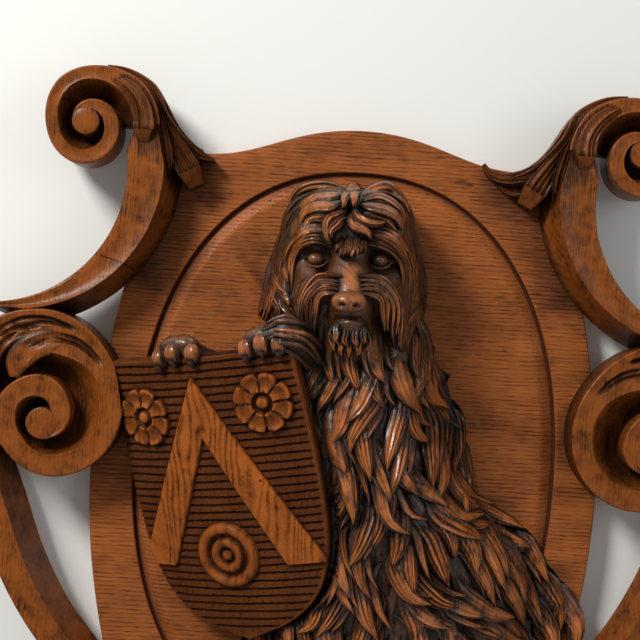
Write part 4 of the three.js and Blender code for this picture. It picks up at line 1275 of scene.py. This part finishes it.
def paw_parts(carving):
    """The paws over the shield's top edge: the back of each foot, its furrowed toes and their claws."""
    for s, span in FEET:
        carving.skin(shield_ball(s, -8.5, -6.5, (span, 9.5, 9.0), furrows(9, 0.1)), tone=0.4)
    for s, t, size in TOES:
        radii = (size * 1.12, size * 1.4, size * 1.25)
        carving.skin(shield_ball(s, t - 3.0, 1.0, radii, furrows(5, 0.13)), tone=0.56)
        ring = np.linspace(0, 2 * math.pi, 15)
        lean = rng.uniform(-1.5, 1.5)
        rows = []
        for share in np.linspace(0, 1, 9):
            radius = 2.7 * math.sqrt(max(1 - share**1.6, 0)) + 0.04
            across = s + lean * share + radius * np.cos(ring)
            out = 6.2 - 4.6 * share**1.7 + radius * np.sin(ring)
            rows.append(on_shield(across, t + 0.5 + 7.5 * share, out))
        carving.skin(rows, tone=0.2)


HIND_PAWS = [(64.5, -190.0, 34.0, (24, 38, 14.4)), (-41.0, -191.0, 31.0, (22, 35, 13.4))]


def hind_paw(x, z, height, radii):
    """A hind paw at the dog's foot, with grooves between its toes and its back flat on the board."""

    def toes(d):
        grooves = np.abs(np.sin(4 * np.arctan2(d[..., 0], np.abs(d[..., 2]) + 0.5))) ** 3
        return 1 - 0.1 * grooves * (d[..., 1] < 0)

    rows = ball(at(x, z, height), radii, toes, rings=20, sectors=32)
    rows[..., 1] = np.minimum(rows[..., 1], -(BOARD_THICKNESS + GAP))
    return rows


def dog():
    """The long-haired dog, from its masses of hair to its claws."""
    carving = Carving()
    carving.skin(*hair_mass(HEAD, 109.5, 216.5))
    carving.skin(*hair_mass(COAT, -200, 116))
    carving.skin(*face_rows())
    carving.skin(nose_rows(), tone=0.56)
    eye_parts(carving)
    coat_locks(carving)
    head_locks(carving)
    near_leg = [
        at(-22.0, 56.0, 62.0), at(-30.0, 80.0, 66.0),
        on_shield(80, -6, -8), on_shield(72, -10, -7), on_shield(58, -8, -5),
    ]
    far_leg = [at(-42.0, 62.0, 40.0), on_shield(44, 34, -34), on_shield(12, 18, -26), on_shield(-5, -2, -13)]
    hairy_limb(carving, near_leg, [11, 13, 12, 11, 8], 0.5)
    hairy_limb(carving, far_leg, [9, 9, 9, 8], 0.3)
    paw_parts(carving)
    for paw in HIND_PAWS:
        carving.skin(hind_paw(*paw), tone=0.5)
    return carving.finish("dog_seated", crisp=50)


# How open each place is to the light, which the finishes read to paint shade into recesses and highlight onto
# crests


def softened(values, mesh):
    """Values of a mesh's points, each shared with the points next to it."""
    pairs = np.zeros(len(mesh.edges) * 2, np.int32)
    mesh.edges.foreach_get("vertices", pairs)
    pairs = pairs.reshape(-1, 2)
    weight = np.bincount(pairs.ravel(), minlength=len(values)) + 1
    total = values.astype(float)
    np.add.at(total, pairs[:, 0], values[pairs[:, 1]])
    np.add.at(total, pairs[:, 1], values[pairs[:, 0]])
    return (total / weight).astype(np.float32)


def open_air(pieces):
    """Gives every point of the pieces its share of open directions."""
    reach, count = 0.026, 8
    points, faces = [], []
    for piece in pieces:
        mesh = piece.data
        mesh.calc_loop_triangles()
        base = len(points)
        points += [vert.co.copy() for vert in mesh.vertices]
        faces += [tuple(base + i for i in triangle.vertices) for triangle in mesh.loop_triangles]
    tree = BVHTree.FromPolygons(points, faces, all_triangles=True)
    turn = math.pi * (3 - math.sqrt(5))
    spread = [(math.sqrt((k + 0.5) / count), k * turn) for k in range(count)]
    for piece in pieces:
        mesh = piece.data
        values = np.zeros(len(mesh.vertices), np.float32)
        for number, vert in enumerate(mesh.vertices):
            normal = vert.normal
            across = normal.orthogonal().normalized()
            over = normal.cross(across)
            start = vert.co + normal * 0.0004
            spin = number * 1.7
            total = 0.0
            for radius, angle in spread:
                turned = angle + spin
                sideways = across * (radius * math.cos(turned)) + over * (radius * math.sin(turned))
                way = sideways + normal * math.sqrt(1 - radius * radius)
                distance = tree.ray_cast(start, way, reach)[3]
                total += 1.0 if distance is None else (distance / reach) ** 0.8
            values[number] = total / count
        mesh.attributes.new("open", "FLOAT", "POINT").data.foreach_set("value", softened(values, mesh))


# Finishes


class Signal:
    """A value in a finish, which can be written in sums."""

    def __init__(self, finish, socket):
        self.finish, self.socket = finish, socket

    def math(self, operation, *others, clamp=False):
        """The value worked out with others by one Math node."""
        inputs = dict(enumerate((self, *others)))
        return self.finish.node("ShaderNodeMath", {"operation": operation, "use_clamp": clamp}, inputs)

    def __add__(self, other):
        return self.math("ADD", other)

    __radd__ = __add__

    def __mul__(self, other):
        return self.math("MULTIPLY", other)

    __rmul__ = __mul__

    def __sub__(self, other):
        return self.math("SUBTRACT", other)

    def __rsub__(self, other):
        return self.finish.node("ShaderNodeMath", {"operation": "SUBTRACT"}, {0: other, 1: self})

    def __pow__(self, other):
        return self.math("POWER", other)

    def clamped(self):
        """The value kept between 0 and 1."""
        return self.math("ADD", 0.0, clamp=True)


class Finish:
    """A material in the making."""

    def __init__(self, name):
        self.material = bpy.data.materials.new(name)
        self.material.use_nodes = True
        self.tree = self.material.node_tree
        self.tree.nodes.clear()

    def node(self, kind, settings=None, inputs=None, output=0):
        """Adds a node, with its settings first and its sockets' values or links next, and gives an output."""
        made = self.tree.nodes.new(kind)
        for key, value in (settings or {}).items():
            if key == "stops":
                ramp = made.color_ramp
                while len(ramp.elements) < len(value):
                    ramp.elements.new(0.5)
                for element, (place, colour) in zip(ramp.elements, value):
                    element.position, element.color = place, (*colour, 1)
            else:
                setattr(made, key, value)
        for key, value in (inputs or {}).items():
            if isinstance(value, Signal):
                self.tree.links.new(value.socket, made.inputs[key])
            else:
                made.inputs[key].default_value = value
        return Signal(self, made.outputs[output] if len(made.outputs) else None)

    def place(self):
        """The place on the object."""
        return self.node("ShaderNodeTexCoord", output="Object")

    def attribute(self, name):
        """A value that the mesh's points carry."""
        return self.node("ShaderNodeAttribute", {"attribute_name": name}, output="Fac")

    def vector(self, operation, *inputs, output=0):
        """A sum on vectors."""
        return self.node("ShaderNodeVectorMath", {"operation": operation}, dict(enumerate(inputs)), output)

    def noise(self, place, scale=1.0, detail=3.0, rough=0.5):
        """A soft random pattern."""
        inputs = {"Vector": place, "Scale": scale, "Detail": detail, "Roughness": rough}
        return self.node("ShaderNodeTexNoise", inputs=inputs, output="Fac")

    def drawn_noise(self, place, scales, detail=3.0, rough=0.5):
        """A soft random pattern with its own scale along each axis."""
        return self.noise(self.vector("MULTIPLY", place, scales), detail=detail, rough=rough)

    def ramp(self, value, stops):
        """A colour for each value."""
        return self.node("ShaderNodeValToRGB", {"stops": stops}, {"Fac": value}, "Color")

    def mix(self, factor, first, second, blend="MIX"):
        """Two colours mixed."""
        inputs = {"Factor": factor, 6: first, 7: second}
        return self.node("ShaderNodeMix", {"data_type": "RGBA", "blend_type": blend}, inputs, 2)

    def surface(self, **inputs):
        """Closes the finish with its one shader."""
        sockets = {key.replace("_", " "): value for key, value in inputs.items()}
        shader = self.node("ShaderNodeBsdfPrincipled", inputs=sockets)
        self.node("ShaderNodeOutputMaterial", inputs={"Surface": shader})
        return self.material


def oak(
    name, turn, pith, light, middle, dark, recess, shine, lean, coat, gloss, pitch=3.3, crest=0.3, gloom=0.8,
    wander=26.0, rings=0.34, wax_and_shade_boost=0.0, mottle=0.3, cloud=0.55, wear_and_highlight_level=1.1, knots=(),
):
    """Waxed oak: growth rings round a pith, open pores, dark wax and painted shade in the recesses, and
    crests lightened by wear and painted highlight.

    The grain runs along x once turned. The colours go from light wood to the wax and painted shade in a
    recess.
    """
    f = Finish(name)
    millimetres = f.vector("SCALE", f.place())
    millimetres.socket.node.inputs["Scale"].default_value = 1 / MM
    mapping = {"Vector": millimetres, "Rotation": turn, "Location": pith}
    along = f.node("ShaderNodeMapping", {"vector_type": "POINT"}, mapping)
    apart = f.node("ShaderNodeSeparateXYZ", inputs={"Vector": along}).socket.node
    x, y, z = (Signal(f, apart.outputs[axis]) for axis in "XYZ")
    tone = f.attribute("tone")
    openness = f.attribute("open")

    slow = f.drawn_noise(along, (0.006, 0.02, 0.02), 2.0)
    wave = f.drawn_noise(along, (0.02, 0.05, 0.05), 2.0)
    deep = y + x * lean
    radius = (deep * deep + z * z) ** 0.5 + slow * wander + wave * (0.2 * wander)
    ring = (radius * (1.0 / pitch)).math("FRACT")
    early = ((ring - 0.72).math("ABSOLUTE") * 3.4).clamped()
    width = f.noise(f.node("ShaderNodeCombineXYZ", inputs={"X": radius * 0.09}), detail=1.0)
    line = (1.0 - early) * (0.35 + width)
    fibre = f.drawn_noise(along, (0.045, 1.5, 1.5), 3.0, 0.6)
    pore = f.drawn_noise(along, (0.1, 2.3, 2.3), 1.5, 0.4)
    pores = ((pore - 0.53) * 9.0).clamped() * (0.35 + 0.65 * line).clamped()
    blotch = f.drawn_noise(along, (0.012, 0.03, 0.03), 3.0, 0.6)
    patch = f.drawn_noise(along, (0.05, 0.09, 0.09), 4.0, 0.65)

    drawn = line * rings * (tone * 2.4 - 0.8).clamped()
    shade = fibre * 0.5 + blotch * cloud + patch * mottle - drawn - pores * 0.6
    shade = shade - 0.5 * (mottle + cloud) + 0.365
    wood = f.ramp(shade.clamped(), [(0.1, dark), (0.42, middle), (0.78, light)])
    greyed = f.mix(1.0, wood, (0.9, 1.04, 1.12, 1), "MULTIPLY")
    wood = f.mix(((blotch - 0.42) * 3.0).clamped(), greyed, wood)
    # Low tone darkens the wood: mostly painted shade in grooves, cuts and under locks, also the dark glued
    # joint
    wood = f.mix((gloom - tone * 1.35).clamped(), wood, (*dark, 1))
    if knots:
        wood = f.mix((knot_shade(f, millimetres, knots) * 1.5 - patch).clamped(), wood, (*recess, 1))

    # Patches for the wax and wear, and for the painted shade and highlight
    dirt_and_light_noise = f.drawn_noise(millimetres, (0.12, 0.12, 0.12), 3.0, 0.6)
    # Dark wax and painted shade in the recesses, where little is open to the light
    hollow = (1.22 + wax_and_shade_boost - openness * 1.5 + (dirt_and_light_noise - 0.5) * 0.35).clamped()
    wood = f.mix(hollow ** 0.85, wood, (*recess, 1))
    # Open crests high in tone turn light: wear and painted highlight
    wear_and_highlight_noise = f.drawn_noise(millimetres, (0.05, 0.05, 0.05), 2.0)
    worn = ((openness + tone * 0.55 - wear_and_highlight_level) * 5.0).clamped() * ((dirt_and_light_noise + wear_and_highlight_noise - 0.72) * 2.4).clamped()
    wood = f.mix(worn * crest, wood, (*light, 1))
    rough = (shine + hollow * 0.25 + pores * 0.15 + (patch - 0.5) * 0.26 - worn * 0.06).clamped()
    relief = fibre * 0.25 - line * 0.25 - pores * 1.0 + patch * 0.3
    bump = f.node("ShaderNodeBump", inputs={"Strength": 0.6, "Distance": 0.0004, "Height": relief})
    return f.surface(
        Base_Color=wood, Roughness=rough, Normal=bump, Coat_Weight=coat, Coat_Roughness=0.28,
        Specular_IOR_Level=gloss,
    )


def knot_shade(finish, millimetres, knots):
    """Where small knots stand on the board's front, drawn out along the grain."""
    squeeze = 0.55
    squeezed = finish.vector("MULTIPLY", millimetres, (squeeze, 1, 1))
    total = 0.0
    for across, up, size in knots:
        middle = (across * squeeze, -BOARD_THICKNESS, up)
        distance = finish.vector("DISTANCE", squeezed, middle, output="Value")
        total = (1.0 - distance * (1.0 / size)).clamped() + total
    return total


def stage_finish(name, colour, rough):
    """A plain stage surface that can't be seen from behind."""
    f = Finish(name)
    cloud = f.noise(f.place(), 3.0)
    tint = f.mix(cloud * 0.1, (*colour, 1), (*(0.9 * c for c in colour), 1))
    shader = f.node("ShaderNodeBsdfPrincipled", inputs={"Base Color": tint, "Roughness": rough})
    clear = f.node("ShaderNodeBsdfTransparent")
    behind = f.node("ShaderNodeNewGeometry", output="Backfacing")
    mixed = f.node("ShaderNodeMixShader", inputs={0: behind, 1: shader, 2: clear})
    f.node("ShaderNodeOutputMaterial", inputs={"Surface": mixed})
    return f.material


# Build the pieces

built = {
    "board": board(),
    "scroll_upper_left": upper_scroll("volute_upper_left", -1),
    "scroll_upper_right": upper_scroll("volute_upper_right", 1),
    "scroll_lower_left": lower_scroll("volute_lower_left", -1),
    "scroll_lower_right": lower_scroll("volute_lower_right", 1),
    "shield": shield(),
    "dog": dog(),
}
open_air(list(built.values()))

UPRIGHT = (0, math.radians(90), 0)
board_oak = oak(
    "board_oak", turn=(0, 0, 0), pith=(0, -40, 620),
    light=(0.4, 0.115, 0.024), middle=(0.26, 0.062, 0.011), dark=(0.06, 0.013, 0.004),
    recess=(0.012, 0.004, 0.002),
    shine=0.5, lean=0.02, coat=0.02, wander=9.0, rings=0.68, gloss=0.17, mottle=0.45, cloud=0.95,
    knots=[(33.3, 245.1, 5.5), (79.8, 230.3, 4.5), (88.0, 228.0, 3.0)],
)
scroll_oak = oak(
    "scroll_oak", turn=UPRIGHT, pith=(0, 60, 90),
    light=(0.29, 0.078, 0.012), middle=(0.085, 0.019, 0.0028), dark=(0.018, 0.0055, 0.0022),
    recess=(0.003, 0.0015, 0.0012),
    shine=0.34, lean=0.05, crest=0.8, coat=0.09, gloom=0.93, wax_and_shade_boost=0.14, mottle=0.95, gloss=0.12,
)
shield_oak = oak(
    "shield_oak", turn=UPRIGHT, pith=(0, 120, 130),
    light=(0.42, 0.11, 0.018), middle=(0.2, 0.045, 0.007), dark=(0.028, 0.007, 0.003),
    recess=(0.004, 0.002, 0.0015),
    shine=0.42, lean=0.22, pitch=6.5, crest=0.5, coat=0.03, gloom=1.12, wander=60.0, rings=0.55, gloss=0.08,
)
dog_oak = oak(
    "dog_oak", turn=UPRIGHT, pith=(0, 70, 20),
    light=(0.42, 0.125, 0.026), middle=(0.072, 0.019, 0.006), dark=(0.014, 0.005, 0.0035),
    recess=(0.003, 0.0016, 0.0015),
    shine=0.29, lean=0.1, crest=1.0, coat=0.26, gloom=1.16, wax_and_shade_boost=0.12, gloss=0.42, wear_and_highlight_level=1.17,
)
finishes = {
    "board": ("board_oak", board_oak),
    "shield": ("shield_oak", shield_oak),
    "dog": ("dog_oak", dog_oak),
}
for node, piece in built.items():
    slot_name, finish = finishes.get(node, ("scroll_oak", scroll_oak))
    piece.data.materials.append(finish)
    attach(piece, "root")
    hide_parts(node)


# Stage, light and camera


def stage_sheet(name, corners, finish):
    """A large plain rectangle behind or below the object."""
    bm = bmesh.new()
    grid = bmesh.ops.create_grid(bm, x_segments=1, y_segments=1, size=0.5)
    for vert in grid["verts"]:
        i, j = round(vert.co.x + 0.5), round(vert.co.y + 0.5)
        vert.co = corners[j][i]
    mesh = bpy.data.meshes.new(name)
    bm.to_mesh(mesh)
    bm.free()
    mesh.materials.append(finish)
    sheet = bpy.data.objects.new(name, mesh)
    bpy.context.scene.collection.objects.link(sheet)
    sheet.visible_shadow = False
    sheet.visible_diffuse = False


stage_sheet(
    "wall", [[(-4, 0.001, -1.2), (4, 0.001, -1.2)], [(-4, 0.001, 4), (4, 0.001, 4)]],
    stage_finish("wall_plaster", (0.8, 0.81, 0.785), 0.85),
)
stage_sheet(
    "floor", [[(-4, -5, -1.2), (4, -5, -1.2)], [(-4, 2.5, -1.2), (4, 2.5, -1.2)]],
    stage_finish("floor_pale", (0.7, 0.69, 0.67), 0.7),
)


def soft_light(name, place, target, size, power, colour):
    """A round soft light turned to its target."""
    light = bpy.data.lights.new(name, "AREA")
    light.shape, light.size, light.energy, light.color = "DISK", size, power, colour
    made = bpy.data.objects.new(name, light)
    made.location = place
    made.rotation_euler = (Vector(target) - Vector(place)).to_track_quat("-Z", "Y").to_euler()
    bpy.context.scene.collection.objects.link(made)


soft_light("window", (-1.15, -1.35, 1.25), (0, 0, 0.05), 0.6, 42, (1.0, 0.97, 0.93))
soft_light("fill", (1.5, -1.6, 0.5), (0, 0, 0.05), 1.2, 6, (0.96, 0.98, 1.0))
bpy.context.scene.view_settings.view_transform = "Standard"

world = bpy.data.worlds.new("studio")
bpy.context.scene.world = world
world.use_nodes = True
background = world.node_tree.nodes["Background"]
background.inputs["Color"].default_value = (0.9, 0.9, 0.9, 1)
background.inputs["Strength"].default_value = 0.36

photo_width, photo_focal = 640, 1437.5  # in the photo's pixels
camera = bpy.data.cameras.new("camera")
camera.sensor_width, camera.lens = 36.0, 36.0 * photo_focal / photo_width
holder = bpy.data.objects.new("camera", camera)
bpy.context.scene.collection.objects.link(holder)
tilt = math.radians(3.5)
ahead, up = Vector((0, 1, 0)), Vector((-math.sin(tilt), 0, math.cos(tilt)))
right = ahead.cross(up)
pose = Matrix((right, up, -ahead)).transposed().to_4x4()
pose.translation = (-0.026, -1.172, 0.1133)
holder.matrix_world = pose
bpy.context.scene.camera = holder
